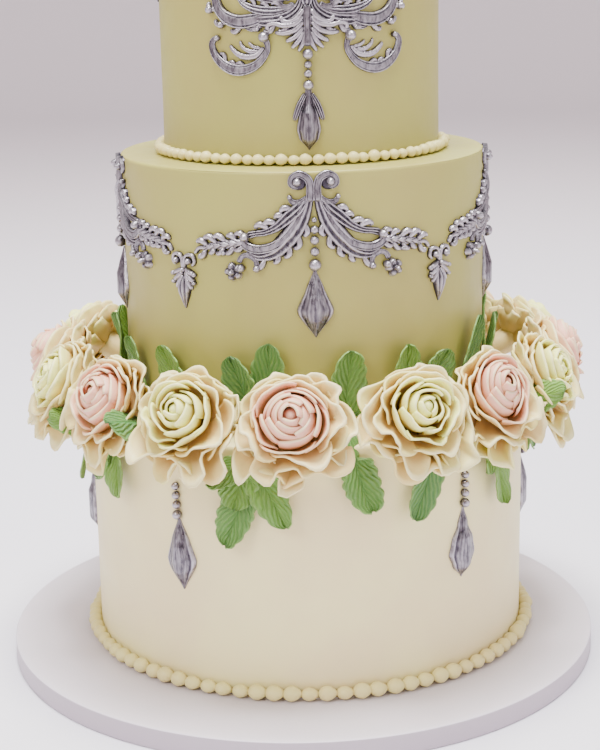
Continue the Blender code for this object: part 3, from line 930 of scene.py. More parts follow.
@dataclass(frozen=True)
class Drop(Ornament):
    """A hanging drop with its chain of beads: striated, with a thin raised rim."""

    form: DropForm
    edge_share: float = 1.10

    def carve(self, shape: Shape) -> None:
        """Add the beads and the drop under them.

        Args:
            shape: The ornament under construction.
        """
        form = self.form
        for y, radius in form.beads:
            add_boss(shape, self.wall, 0.0, y, radius, 1.0)
        top, foot = form.outline[0][0], form.outline[-1][0]
        widest = max(width for _, width in form.outline)

        def rule(s: float, t: float) -> Placed:
            """Place a point of the drop's face, which has streaks and a raised rim."""
            height = top + (foot - top) * t
            half = self.edge_share * form.half_width(height)
            side = abs(s)
            rim = math.exp(-((side - 0.90) / 0.07) ** 2)
            streak = field.noise(Vector((9.0 * s, 1.6 * t, 3.0)))
            streak += 0.5 * field.noise(Vector((24.0 * s, 2.4 * t, 7.0)))
            dome = max(0.0, 1.0 - side ** 1.7)
            fullness = min(1.0, half / widest * 1.25)
            out = form.bulge * dome * fullness + (0.75 * rim + 0.09 * streak * (side < 0.85)) * fullness
            if side > 0.999:
                out = -0.6
            # Painted light: a painted highlight on the raised rim and painted shade in the groove inside it,
            # while the streaks are the drop's own streaked tone.
            relief = 0.44 + 0.32 * streak + 0.4 * rim - 0.3 * math.exp(-((side - 0.78) / 0.05) ** 2)
            return self.wall.place(s * half, height, out), {"relief": relief}

        shape.patch(36, 44, rule)
        if form.leaves:
            for side in (1.0, -1.0):
                blade = ((side * 1.6, -48.6, 1.2), (side * 4.8, -54.6, 1.8), (side * 7.0, -60.6, 1.6),
                         (side * 7.8, -63.4, 0.9))
                Stroke(blade, Section.REEDS, 1.6).add_to(shape, self.wall)


@dataclass(frozen=True)
class Cartouche(Ornament):
    """The large ornament of the top tier: palmette fan, C scrolls, crescents, plume, bead chain and drop."""

    drop: DropForm = DropForm(
        ((-28.0, 2.9), (-33.4, 2.2), (-38.2, 2.3), (-44.3, 2.9)),
        ((-47.0, 1.6), (-54.0, 2.6), (-61.0, 5.0), (-68.0, 6.2), (-73.0, 5.0), (-79.0, 0.3)), 4.2, 0.5, True,
    )
    fan: Sequence[Path] = (
        ((1.8, -4.0, 1.3), (5.0, -8.4, 1.6), (9.6, -10.8, 1.5), (13.0, -9.8, 1.4), (13.6, -7.0, 1.2)),
        ((2.0, -7.4, 1.3), (6.0, -11.6, 1.7), (12.0, -12.8, 1.7), (17.4, -11.6, 1.5), (20.8, -12.8, 1.4),
         (20.6, -15.8, 1.2)),
        ((2.0, -10.4, 1.3), (6.4, -15.0, 1.7), (12.0, -16.8, 1.6), (17.2, -16.4, 1.0)),
        ((2.0, -13.4, 1.2), (5.6, -18.0, 1.6), (9.4, -20.4, 1.5), (11.8, -21.0, 1.0)),
        ((1.8, -15.6, 1.1), (4.4, -20.4, 1.5), (7.2, -23.6, 1.3), (8.8, -24.8, 0.9)),
        ((1.2, -17.6, 1.0), (2.6, -22.6, 1.3), (5.0, -26.6, 0.9)),
    )
    scroll: Path = (
        (22.6, -19.0, 1.8), (21.4, -25.4, 1.5), (26.0, -32.0, 2.2), (32.0, -35.4, 2.8), (39.0, -36.2, 3.2),
        (46.4, -33.6, 2.8), (52.4, -28.2, 2.2), (54.4, -22.4, 1.7), (51.4, -18.8, 1.4),
    )
    prongs: Sequence[Path] = (
        ((23.4, -24.0, 1.0), (28.4, -28.6, 1.8), (35.6, -28.8, 1.8), (41.0, -25.4, 1.3), (42.8, -22.8, 0.8)),
        ((26.0, -26.0, 0.9), (31.0, -26.2, 1.4), (35.4, -23.8, 1.1), (36.8, -20.6, 0.7)),
        ((25.0, -24.4, 0.8), (29.0, -23.8, 1.1), (32.0, -21.4, 0.7)),
    )
    crescent: Path = (
        (2.6, 4.0, 1.6), (4.4, -3.0, 2.4), (9.0, -7.4, 3.0), (15.6, -9.8, 3.4), (22.6, -10.4, 3.4),
        (29.0, -10.0, 2.0),
    )
    trough: Path = (
        (22.0, -7.4, 2.0), (29.0, -9.8, 3.6), (37.0, -10.6, 3.8), (44.4, -8.2, 3.4), (49.4, -3.0, 2.8),
        (50.8, 4.0, 2.3), (48.4, 9.4, 1.8), (44.4, 9.4, 1.4),
    )
    leaves: Sequence[Path] = (
        ((10.0, -4.0, 1.4), (17.0, -5.0, 2.6), (25.0, -4.6, 2.8), (33.0, -2.0, 2.0), (38.0, 2.4, 0.8)),
        ((24.0, -12.6, 1.0), (29.4, -14.4, 1.7), (34.4, -13.4, 0.8)),
        ((12.0, 0.0, 1.2), (20.0, 1.0, 2.4), (28.0, 3.4, 2.2), (33.0, 8.0, 0.8)),
    )
    plumes: Sequence[Path] = (
        ((1.0, 8.0, 1.4), (6.4, 13.0, 2.4), (11.6, 18.4, 2.6), (14.0, 25.0, 2.0), (10.6, 29.6, 1.2)),
        ((0.8, 16.0, 1.2), (4.0, 21.0, 2.0), (6.4, 27.0, 1.6), (5.0, 32.0, 0.9)),
    )
    inner: Path = spiral((11.4, 2.0), 6.2, 215.0, 400.0, 1.9)
    stem: Path = ((0.0, 36.0, 0.5), (0.0, 27.0, 3.4), (0.0, 14.0, 2.6), (0.0, 2.0, 3.4), (0.0, -3.0, 3.2))
    spine: Path = ((0.0, -1.5, 2.0), (0.0, -8.0, 2.0), (0.0, -16.0, 1.8), (0.0, -24.0, 2.2))

    def carve(self, shape: Shape) -> None:
        """Add every scroll of the cartouche, from the back layer to the front.

        Args:
            shape: The ornament under construction.
        """
        self.both_sides(shape, (
            *fronds(self.crescent, -1.0, 4, (0.25, 0.85), 4.6, 1.4),
            Stroke(self.crescent, Section.REEDS, 1.0, across=16),
            *fronds(self.trough, -1.0, 3, (0.30, 0.62), 4.4, 1.4),
            Stroke(self.trough, Section.CHANNEL, 1.05, across=20),
            *fronds(self.leaves[0], 1.0, 4, (0.10, 0.80), 4.0, 1.3),
            *(Stroke(path, Section.REEDS, 1.2) for path in self.leaves),
            *fronds(self.plumes[0], -1.0, 4, (0.15, 0.85), 3.8, 1.3),
            *(Stroke(path, Section.REEDS, 1.0) for path in self.plumes),
            Stroke(self.inner, Section.CHANNEL, 1.5),
            Stroke(self.scroll, Section.CHANNEL, 1.1, across=16),
            *fronds(self.scroll, 1.0, 3, (0.42, 0.66), 3.6, 1.1),
            *(Stroke(path, Section.ROUND, 1.2) for path in self.prongs),
            *(Stroke(path, Section.ROUND, 2.5 - 0.15 * order) for order, path in enumerate(self.fan)),
        ))
        Stroke(self.stem, Section.REEDS, 1.1).add_to(shape, self.wall)
        Stroke(self.spine, Section.CHANNEL, 1.8).add_to(shape, self.wall)
        for side in (1.0, -1.0):
            for x, y, radius in ((22.8, -18.6, 3.0), (26.4, -14.6, 1.5), (50.4, -19.4, 1.7), (44.0, 9.0, 1.9),
                                 (11.4, 2.0, 2.0), (47.6, -12.4, 2.0), (54.6, -4.4, 2.2)):
                add_boss(shape, self.wall, side * x, y, radius, 1.3)
        Drop(self.node, self.wall, self.drop).carve(shape)


@dataclass(frozen=True)
class Crest(Ornament):
    """A small shell crest with a pair of volutes, for the sides of the top tier."""

    stem: Path = ((0.0, 38.0, 0.6), (0.0, 28.0, 4.0), (0.0, 12.0, 3.0), (0.0, 5.0, 3.4), (0.0, -2.0, 0.5))
    arm: Path = ((0.8, 9.0, 1.5), (5.0, 10.4, 2.2), (8.6, 12.4, 2.0))
    volute: Path = spiral((10.5, 18.0), 5.6, -70.0, 380.0, 1.8)
    blades: Sequence[Path] = (
        ((1.0, 14.0, 1.2), (4.0, 19.0, 1.8), (6.6, 26.0, 1.4), (5.4, 31.0, 0.8)),
        ((1.0, 6.0, 1.2), (4.4, 4.6, 1.6), (7.4, 6.2, 1.0)),
    )

    def carve(self, shape: Shape) -> None:
        """Add the shell's stem, its blades and its volutes.

        Args:
            shape: The ornament under construction.
        """
        Stroke(self.stem, Section.REEDS, 0.9, across=16).add_to(shape, self.wall)
        self.both_sides(shape, (
            Stroke(self.arm, Section.LEAF, 1.1, 3.0), Stroke(self.volute, Section.CHANNEL, 1.5),
            *(Stroke(path, Section.LEAF, 1.1, 4.0) for path in self.blades),
        ))
        for side in (1.0, -1.0):
            add_boss(shape, self.wall, side * 10.5, 18.0, 2.0, 1.5)


# The hanging drops, with their heights and half widths below the point that they hang from.
CHAIN = ((-27.0, 2.3), (-32.2, 2.4), (-37.6, 2.5), (-43.4, 2.8))
UPPER_DROP = DropForm(
    ((-18.4, 1.5), (-23.6, 2.3), (-29.3, 2.5), (-35.4, 2.6), (-42.6, 3.5)),
    ((-46.0, 0.7), (-56.0, 4.6), (-67.4, 9.2), (-70.0, 8.8), (-82.6, 0.3)), 5.2, 0.25,
)
KITE = DropForm(CHAIN, ((-46.0, 0.7), (-58.0, 5.4), (-69.6, 9.0), (-73.0, 8.4), (-87.4, 0.3)), 4.8, 0.25)
TEARDROP = DropForm(
    CHAIN, ((-46.0, 0.7), (-56.0, 3.6), (-66.0, 7.6), (-73.0, 9.0), (-80.0, 6.4), (-87.4, 0.3)), 4.8, 0.8)


@dataclass(frozen=True)
class SilverWork:
    """Every silver ornament of the cake, in the places of its solids."""

    tiers: "Tiers"
    gap: float = 0.0001
    swag_joints_deg: tuple[float, ...] = (-78.2, 3.8, 85.8, 183.8)
    swag_stretch: tuple[float, ...] = (1.0, 1.0, 1.0, 49.0 / 41.0)
    swag_height: float = 0.2955
    fleur_height: float = 0.2530
    lower_drops_deg: tuple[float, ...] = (-87.0, -33.6, 42.6, 90.0, 138.0, 228.0)
    lower_drop_lean_deg: tuple[float, float] = (-1.5, 2.5)
    cartouches_deg: tuple[float, ...] = (3.6, 183.6)
    crests_deg: tuple[float, ...] = (-84.0, 96.0)
    cartouche_height: float = 0.390

    def middle_tier(self) -> Iterator[Ornament]:
        """Yield the swags, the fleurs between them and the drops at their joints."""
        radius = self.tiers.middle.radius + self.gap
        joints = (*self.swag_joints_deg, self.swag_joints_deg[0] + 360.0)
        for number, stretch in enumerate(self.swag_stretch, 1):
            joint, following = joints[number - 1], joints[number]
            yield Swag(f"swag_{number}", Wall(radius, joint, self.swag_height, stretch))
            yield Fleur(f"fleur_{number}", Wall(radius, (joint + following) / 2, self.fleur_height))
            yield Drop(f"drop_{number}", Wall(radius, joint, self.swag_height, wraps=False), UPPER_DROP)

    def bottom_tier(self) -> Iterator[Ornament]:
        """Yield the lower drops, teardrops and kites by turns."""
        radius = self.tiers.bottom.radius + self.gap
        for index, azimuth in enumerate(self.lower_drops_deg):
            lean = self.lower_drop_lean_deg[index % 2]
            hanging = Wall(radius, azimuth, self.tiers.bottom.top, lean_deg=lean, wraps=False)
            yield Drop(f"lower_drop_{index + 1}", hanging, KITE if index % 2 else TEARDROP)

    def top_tier(self) -> Iterator[Ornament]:
        """Yield the large ornaments at the front and the back, and the crests at the sides."""
        radius = self.tiers.top.radius + self.gap
        for name, kind, places in (
            ("cartouche", Cartouche, self.cartouches_deg), ("crest", Crest, self.crests_deg),
        ):
            for number, azimuth in enumerate(places, 1):
                yield kind(f"{name}_{number}", Wall(radius, azimuth, self.cartouche_height))

    def build(self, finish: bpy.types.Material) -> None:
        """Build every ornament in one finish."""
        for ornament in (*self.middle_tier(), *self.bottom_tier(), *self.top_tier()):
            ornament.build(finish)


# Cake and board

@dataclass
class Tier:
    """One tier of the cake, with the size of its solid."""

    node: str
    slot: str
    edge: float
    steps: int = 180
    rows: int = 26
    rim_rows: int = 8
    ledge_shares: tuple[float, ...] = (0.0, 0.3, 0.6, 0.8, 0.9, 0.97)
    dent: float = 0.00045
    ripple: float = 0.00012
    dents_per_metre: float = 16.0

    def __post_init__(self) -> None:
        """Take the radius, the foot and the top from the solid."""
        low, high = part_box(self.node)
        self.radius: float = high.x
        self.foot: float = low.z
        self.top: float = high.z

    def build(self, finish: bpy.types.Material, seed: float) -> bpy.types.Object:
        """Turn the tier with a soft top edge and smooth it by hand, within the size of its solid.

        Args:
            finish: The icing.
            seed: Where the unevenness is read, so that no two tiers are alike.

        Returns:
            The piece.
        """
        inner = self.radius - self.edge
        shoulder = self.top - self.edge
        ledge = [(inner * share, self.top) for share in self.ledge_shares]
        rim = []
        for row in range(self.rim_rows + 1):
            angle = math.radians(90.0 - 90.0 * row / self.rim_rows)
            rim.append((inner + self.edge * math.cos(angle), self.top - self.edge * (1.0 - math.sin(angle))))
        wall = [(self.radius, shoulder - (shoulder - self.foot) * row / self.rows)
                for row in range(1, self.rows + 1)]
        shape = turned(f"{self.node}_icing", [*ledge, *rim, *wall, (0.0, self.foot)], self.steps)
        for vert in shape.work.verts:
            away = math.hypot(vert.co.x, vert.co.y)
            if away < 0.5 * inner or vert.co.z < self.foot + 0.001:
                continue
            place = vert.co * self.dents_per_metre + Vector((seed, 0.0, 0.0))
            dent = self.dent * (0.5 + 0.5 * field.noise(place))
            dent += self.ripple * (0.5 + 0.5 * field.noise(place * 4.0))
            if vert.co.z > self.top - 0.3 * self.edge:
                vert.co.z -= dent
            else:
                vert.co.x *= 1.0 - dent / away
                vert.co.y *= 1.0 - dent / away
        return shape.build(finish, [self.node], self.slot)


@dataclass(frozen=True)
class Tiers:
    """The three tiers."""

    bottom: Tier
    middle: Tier
    top: Tier

    def build(self, ivory: bpy.types.Material, green: bpy.types.Material) -> None:
        """Build the tiers.

        Args:
            ivory: The bottom tier's icing.
            green: The icing of the other two.
        """
        self.bottom.build(ivory, 3.0)
        self.middle.build(green, 11.0)
        self.top.build(green, 23.0)


@dataclass
class Board:
    """The drum board: a thick disc wrapped in foil paper, with a lapped rim and a seam at its side."""

    node: str = "drum_board"
    steps: int = 220
    edge: float = 0.0009
    edge_rows: int = 4
    lap: float = 0.0042
    lap_slope: float = 0.0006
    lap_rise: float = 0.00012
    seam_deg: float = -43.0
    seam_width: float = 0.0007
    seam_depth: float = 0.0006

    def __post_init__(self) -> None:
        """Take the board's size and centre from its solid."""
        low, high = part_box(self.node)
        self.centre = Vector(((low.x + high.x) / 2, (low.y + high.y) / 2, 0.0))
        self.radius: float = (high.x - low.x) / 2
        self.top: float = high.z

    def profile(self) -> list[tuple[float, float]]:
        """Trace (radius, height) from the middle of the face over the lap and both edges to the foot."""
        face = self.top - self.lap_rise
        points = [(0.0, face), (0.5 * self.radius, face), (self.radius - self.lap - self.lap_slope, face),
                  (self.radius - self.lap, self.top)]
        inner = self.radius - self.edge
        for height, start in ((self.top - self.edge, 90.0), (self.edge, 0.0)):
            for row in range(self.edge_rows + 1):
                angle = math.radians(start - 90.0 * row / self.edge_rows)
                points.append((inner + self.edge * math.cos(angle), height + self.edge * math.sin(angle)))
        return [*points, (0.0, 0.0)]

    def build(self, finish: bpy.types.Material) -> bpy.types.Object:
        """Turn the board, press in the seam and set it in place.

        Args:
            finish: The foil paper.

        Returns:
            The piece.
        """
        shape = turned(f"{self.node}_foil", self.profile(), self.steps)
        seam = math.radians(self.seam_deg)
        for vert in shape.work.verts:
            away = math.hypot(vert.co.x, vert.co.y)
            if away > self.radius - 1.2 * self.edge:
                turn = math.atan2(vert.co.x, -vert.co.y)
                near = math.exp(-((turn - seam) * self.radius / self.seam_width) ** 2)
                vert.co.x *= 1.0 - self.seam_depth * near / away
                vert.co.y *= 1.0 - self.seam_depth * near / away
        bmesh.ops.translate(shape.work, verts=shape.work.verts, vec=self.centre)
        return shape.build(finish, [self.node], "drum_foil")


@dataclass(frozen=True)
class BeadRing:
    """A ring of piped beads in the corner at a tier's foot."""

    node: str
    beads: int
    size: float
    unevenness: float = 0.10
    drift: float = 0.06
    tail: float = 0.30
    overlap: float = 0.535

    def build(
        self, finish: bpy.types.Material, tier: Tier, foot: float, draw: random.Random,
    ) -> bpy.types.Object:
        """Pipe the beads one by one, each a little different, with its tail under the next.

        Args:
            finish: The icing.
            tier: The tier that they lie against.
            foot: The height of what they stand on.
            draw: The source of their unevenness.

        Returns:
            The ring as one piece.
        """
        shape = Shape(f"{self.node}_beads")
        pitch = math.tau / self.beads
        swell = [1.0 + draw.uniform(-self.unevenness, self.unevenness) for _ in range(self.beads)]
        for index, share in enumerate(swell):
            size = self.size * share
            turn = (index + 0.5) * pitch + draw.uniform(-self.drift, self.drift) * pitch
            long = self.overlap * pitch * (tier.radius + 0.4 * self.size) * (0.5 + 0.5 * share)
            squash = draw.uniform(-0.15, 0.15)

            def rule(way: Vector) -> Placed:
                """Place a point of the bead in the corner between the tier and what it stands on."""
                tail = 1.0 - self.tail * max(0.0, way.x)
                away = tier.radius + 0.44 * size + 0.54 * size * way.y * tail
                up = foot + 0.0002 + 0.48 * size + 0.50 * size * way.z * tail * (1.0 + 0.1 * squash)
                around = turn + (long * way.x + 0.10 * size * squash * way.z) / tier.radius
                return Vector((away * math.cos(around), away * math.sin(around), up)), {}

            shape.ball(14, 10, rule)
        return shape.build(finish, [self.node], "bead_icing")


# Flowers and leaves

@dataclass(frozen=True)
class PetalRing:
    """A ring of like petals, with its lengths in mm.

    base, belly and rim are the radius and height, from the flower's own centre and plane, of a petal's foot,
    of the handle that bends it and of its rim. bloom is 0 in the heart and 1 in the outermost ring, and turn
    shifts the ring by a share of a petal.
    """

    count: int
    base: tuple[float, float]
    belly: tuple[float, float]
    rim: tuple[float, float]
    bloom: float
    overlap: float = 1.35
    fall: float = 0.22
    lap: float = 0.8
    ruffle: float = 0.0
    curl: float = 0.4
    turn: float = 0.0
    across: int = 14
    along: int = 10
    skew: float = 0.0


class Kind(Enum):
    """The two kinds of rose, by the names of their petals."""

    PINK = "pink_petals"
    GREEN = "green_petals"


# The rings of petals, from the inside out: two kinds of heart, and the outer petals that both share.
PINK_HEART = (
    PetalRing(3, (7.0, 8.0), (8.5, 19.0), (3.8, 23.8), 0.00,
              fall=0.14, lap=0.6, curl=0.0, turn=0.1, skew=0.14),
    PetalRing(4, (9.5, 6.0), (11.8, 18.0), (6.8, 21.8), 0.05,
              fall=0.16, lap=0.7, curl=0.0, turn=0.6, skew=0.18),
    PetalRing(4, (11.5, 4.0), (14.6, 15.5), (10.0, 19.8), 0.12,
              fall=0.18, ruffle=0.1, curl=0.2, turn=0.2, skew=0.20),
    PetalRing(5, (12.5, 2.0), (17.2, 12.5), (13.6, 17.6), 0.20,
              fall=0.20, lap=0.9, ruffle=0.3, curl=0.5, turn=0.5, skew=0.16),
    PetalRing(5, (12.0, 1.0), (20.0, 8.6), (18.4, 15.6), 0.42,
              overlap=1.30, lap=1.1, ruffle=0.8, curl=1.4, turn=0.1, skew=0.06),
)
GREEN_HEART = (
    PetalRing(3, (6.0, 8.0), (7.6, 18.5), (3.4, 23.0), 0.00,
              overlap=1.30, fall=0.16, ruffle=0.1, curl=0.0, turn=0.3, skew=0.12),
    PetalRing(4, (8.0, 6.0), (11.0, 17.5), (7.4, 22.2), 0.08,
              overlap=1.30, fall=0.20, lap=1.0, ruffle=0.4, curl=0.2, turn=0.8, skew=0.12),
    PetalRing(4, (10.0, 4.0), (14.6, 14.5), (12.0, 20.6), 0.16,
              overlap=1.30, lap=1.1, ruffle=0.7, curl=0.6, turn=0.4, skew=0.10),
    PetalRing(5, (11.0, 2.0), (18.6, 10.5), (17.2, 17.6), 0.34,
              overlap=1.30, fall=0.24, lap=1.2, ruffle=1.2, curl=1.4, skew=0.06),
)
OUTER_PETALS = (
    PetalRing(5, (9.0, 2.0), (21.0, 4.5), (23.2, 13.8), 0.72,
              overlap=1.30, fall=0.24, lap=1.2, ruffle=2.0, curl=1.6, turn=0.3, across=22, along=12),
    PetalRing(6, (8.0, 0.0), (25.0, 1.0), (28.4, 9.6), 0.90,
              overlap=1.25, fall=0.26, lap=1.4, ruffle=3.2, curl=2.4, turn=0.7, across=22, along=12),
    PetalRing(6, (7.0, -3.0), (27.0, -3.0), (32.0, 5.8), 1.00,
              overlap=1.25, fall=0.26, lap=1.4, ruffle=3.9, curl=2.8, turn=0.2, across=22, along=12),
    PetalRing(6, (7.0, -6.0), (23.0, -6.0), (27.0, 1.0), 1.00,
              overlap=1.20, fall=0.26, lap=1.4, ruffle=3.6, curl=1.4, turn=0.62, across=20, along=12),
)


@dataclass(frozen=True)
class FlowerRing:
    """Where the flowers stand round the ledge, as their solids do, some a little off the even spacing."""

    count: int = 16
    turn_deg: float = -1.0
    radial: float = 0.1436
    height: float = 0.1761
    tilt_deg: float = 27.0
    shifts_deg: tuple[float, ...] = (-0.9, -1.3, -1.4, 2.2, 1.4)

    def azimuth(self, index: int) -> float:
        """Find a flower.

        Args:
            index: Its place, counted from the front one.

        Returns:
            Its azimuth in degrees.
        """
        half = self.count // 2
        if index > half:
            return self.azimuth(index - self.count) + 360.0
        if index <= -half:
            return self.azimuth(index + self.count) - 360.0
        first = -(len(self.shifts_deg) // 2)
        shift = self.shifts_deg[index - first] if first <= index <= -first else 0.0
        return self.turn_deg + index * 360.0 / self.count + shift

    def limits(self, index: int) -> tuple[float, float]:
        """Measure a flower's room.

        Args:
            index: Its place, counted from the front one.

        Returns:
            Half the angles in radians to the flowers before and after it.
        """
        here = self.azimuth(index)
        around = (here - self.azimuth(index - 1), self.azimuth(index + 1) - here)
        return math.radians(around[0] / 2), math.radians(around[1] / 2)

    def place(self, azimuth_deg: float, across: float, out: float, up: float) -> Vector:
        """Set a point in the radial plane at an azimuth.

        Args:
            azimuth_deg: The plane's azimuth.
            across: The point's distance from the plane.
            out: Its distance from the axis.
            up: Its height.

        Returns:
            The point in the cake's frame.
        """
        turn = math.radians(azimuth_deg)
        return Vector((
            across * math.cos(turn) + out * math.sin(turn),
            across * math.sin(turn) - out * math.cos(turn),
            up,
        ))


# How far the hearts of some flowers lean to the side and up, by their places in the ring.
FLOWER_LEANS_MM = {-3: (8.0, 0.0), -2: (4.0, 1.5), 2: (-7.0, 5.0), 3: (-8.0, 1.5)}


@dataclass
class Flower:
    """A full-blown sugar rose that faces out and up: a wrapped heart and ruffled outer petals.

    side, above and below are how far it reaches in its own plane, in mm. From soft_edge of its room onwards
    the petals give way to the next flower, and they end within spill of the border.
    """

    node: str
    ring: FlowerRing
    index: int
    kind: Kind
    seed: int
    side: float = 32.5
    above: float = 23.5
    below: float = 35.0
    soft_edge: float = 0.80
    spill: float = 0.0030
    thickness: float = 0.0011
    lean_height: float = 24.0
    core_base: float = 4.0
    core_above: tuple[float, float] = (5.6, 17.6)
    core_below: tuple[float, float] = (8.5, 30.0)

    def __post_init__(self) -> None:
        """Take the flower's place, its room and its lean."""
        self.azimuth = self.ring.azimuth(self.index)
        self.before, self.after = self.ring.limits(self.index)
        self.lean = FLOWER_LEANS_MM.get(self.index, (0.0, 0.0))
        self.draw = random.Random(self.seed)

    def settle(self, x: float, y: float, height: float) -> Vector:
        """Stand a point of the flower on the ledge, where outer petals give way to the next flower.

        Args:
            x: Its distance to the side in mm.
            y: Its distance up in the flower's plane in mm.
            height: Its height over that plane in mm.

        Returns:
            The point in the cake's frame.
        """
        reach = math.hypot(x, y)
        rise = y / reach if reach else 0.0
        limit = self.above if rise > 0.0 else self.below
        stretch = 1.0 + (limit / self.side - 1.0) * abs(rise) * min(1.0, reach / self.side) ** 1.3
        lean = max(0.0, height) / self.lean_height
        x = (x * stretch + self.lean[0] * lean) * MM
        y = (y * stretch + self.lean[1] * lean) * MM
        tilt = math.radians(self.ring.tilt_deg)
        out = self.ring.radial + height * MM * math.cos(tilt) - y * math.sin(tilt)
        up = self.ring.height + height * MM * math.sin(tilt) + y * math.cos(tilt)
        aside = math.atan2(x, out)
        edge = self.after if aside > 0.0 else self.before
        soft = self.soft_edge * edge
        if abs(aside) > soft:
            room = edge + self.spill / self.ring.radial - soft
            over = abs(aside) - soft
            aside = math.copysign(soft + room * (1.0 - math.exp(-over / room)), aside)
        away = math.hypot(x, out)
        return self.ring.place(self.azimuth, away * math.sin(aside), away * math.cos(aside), up)

    def petal(self, shape: Shape, ring: PetalRing, centre: float) -> None:
        """Add one petal.

        Args:
            shape: The flower under construction.
            ring: The petal's ring.
            centre: The angle of its middle in radians.
        """
        draw = self.draw
        half = math.pi / ring.count * ring.overlap * draw.uniform(0.93, 1.07)
        size = draw.uniform(0.94, 1.05)
        base, belly, rim = Vector(ring.base), Vector(ring.belly), Vector(ring.rim) * size
        waves = draw.uniform(0.8, 1.9)
        phase, second = draw.uniform(0.0, math.tau), draw.uniform(0.0, math.tau)
        ruffle = ring.ruffle * (1.10 - 0.45 * math.sin(centre))
        cup = draw.uniform(-0.5, 1.0) * ring.ruffle
        rim.y += draw.uniform(-0.55, 0.75) * ring.ruffle
        twist = draw.uniform(-0.45, 0.45) * ring.ruffle
        tint = max(0.0, draw.uniform(-0.6, 0.9)) * ring.bloom ** 2
        lean = draw.choice((-1.0, 1.0)) if ring.ruffle > 1.0 else 1.0

        def rule(s: float, t: float) -> Placed:
            """Place a point of the petal, whose folds grow towards its rim."""
            edge = 1.0 - ring.fall * abs(s) ** 2.6 - ring.skew * s
            edge -= 0.02 * ruffle * math.sin(2.4 * s + second)
            share = t * edge
            point = base * (1.0 - share) ** 2 + belly * 2.0 * share * (1.0 - share) + rim * share ** 2
            slope = (belly - base) * (1.0 - share) + (rim - belly) * share
            normal = Vector((-slope.y, slope.x)).normalized()
            lift = ring.lap * s * lean + cup * s * s * t
            fold = math.pi * waves * s + phase
            lift += ruffle * share ** 1.9 * math.sin(fold) + twist * s * share ** 2
            lift += 0.22 * ruffle * share ** 5 * math.sin(3.1 * fold + second)
            roll = max(0.0, (share - 0.72) / 0.28)
            lift -= ring.curl * roll ** 2
            point += normal * lift
            angle = centre + s * half * (0.82 + 0.18 * t)
            angle -= 0.013 * ruffle * share ** 2 * math.sin(2.0 * fold)
            place = self.settle(point.x * math.cos(angle), point.x * math.sin(angle), point.y)
            return place, {"bloom": ring.bloom, "reach": share, "tint": tint}

        shape.patch(ring.across, ring.along, rule)

    def build(self, finish: bpy.types.Material) -> bpy.types.Object:
        """Add the petals from the heart outwards, and the core that carries them on the ledge.

        Args:
            finish: The petals' finish.

        Returns:
            The piece.
        """
        shape = Shape(f"{self.node}_petals", ("bloom", "reach", "tint"))
        start = self.draw.uniform(0.0, math.tau)
        for ring in (*(PINK_HEART if self.kind is Kind.PINK else GREEN_HEART), *OUTER_PETALS):
            for number in range(ring.count):
                jitter = self.draw.uniform(-0.10, 0.10) * math.tau / ring.count
                self.petal(shape, ring, start + (number + ring.turn) * math.tau / ring.count + jitter)

        def heart_rule(way: Vector) -> Placed:
            """Place a point of the core."""
            reach = self.core_below[0] if way.z < 0.0 else self.core_above[0]
            height = self.core_above[1] if way.z > 0.0 else self.core_below[1]
            place = self.settle(reach * way.x, reach * way.y, self.core_base + height * way.z)
            # The core's reach gives painted shade on its underside.
            return place, {"bloom": 0.5 - 0.5 * way.z, "reach": 0.75 + 0.15 * way.z, "tint": 0.0}

        shape.ball(16, 12, heart_rule)
        return shape.build(finish, [self.node], self.kind.value, self.thickness)


@dataclass(frozen=True)
class LeafPlace:
    """A leaf from its base to its tip: azimuth offsets in degrees, heights and width in mm."""

    base_deg: float
    base_up: float
    tip_deg: float
    tip_up: float
    width: float


@dataclass(frozen=True)
class OutwardLeaf:
    """A leaf that stands out between two flowers, its face turned from up towards one side."""

    twist_deg: float
    foot_up: float
    length: float
    foot_out: float = 0.142
    slope: float = 0.35
    breadth: float = 0.64
    tip_aside: float = 0.001
    curl: float = 0.002


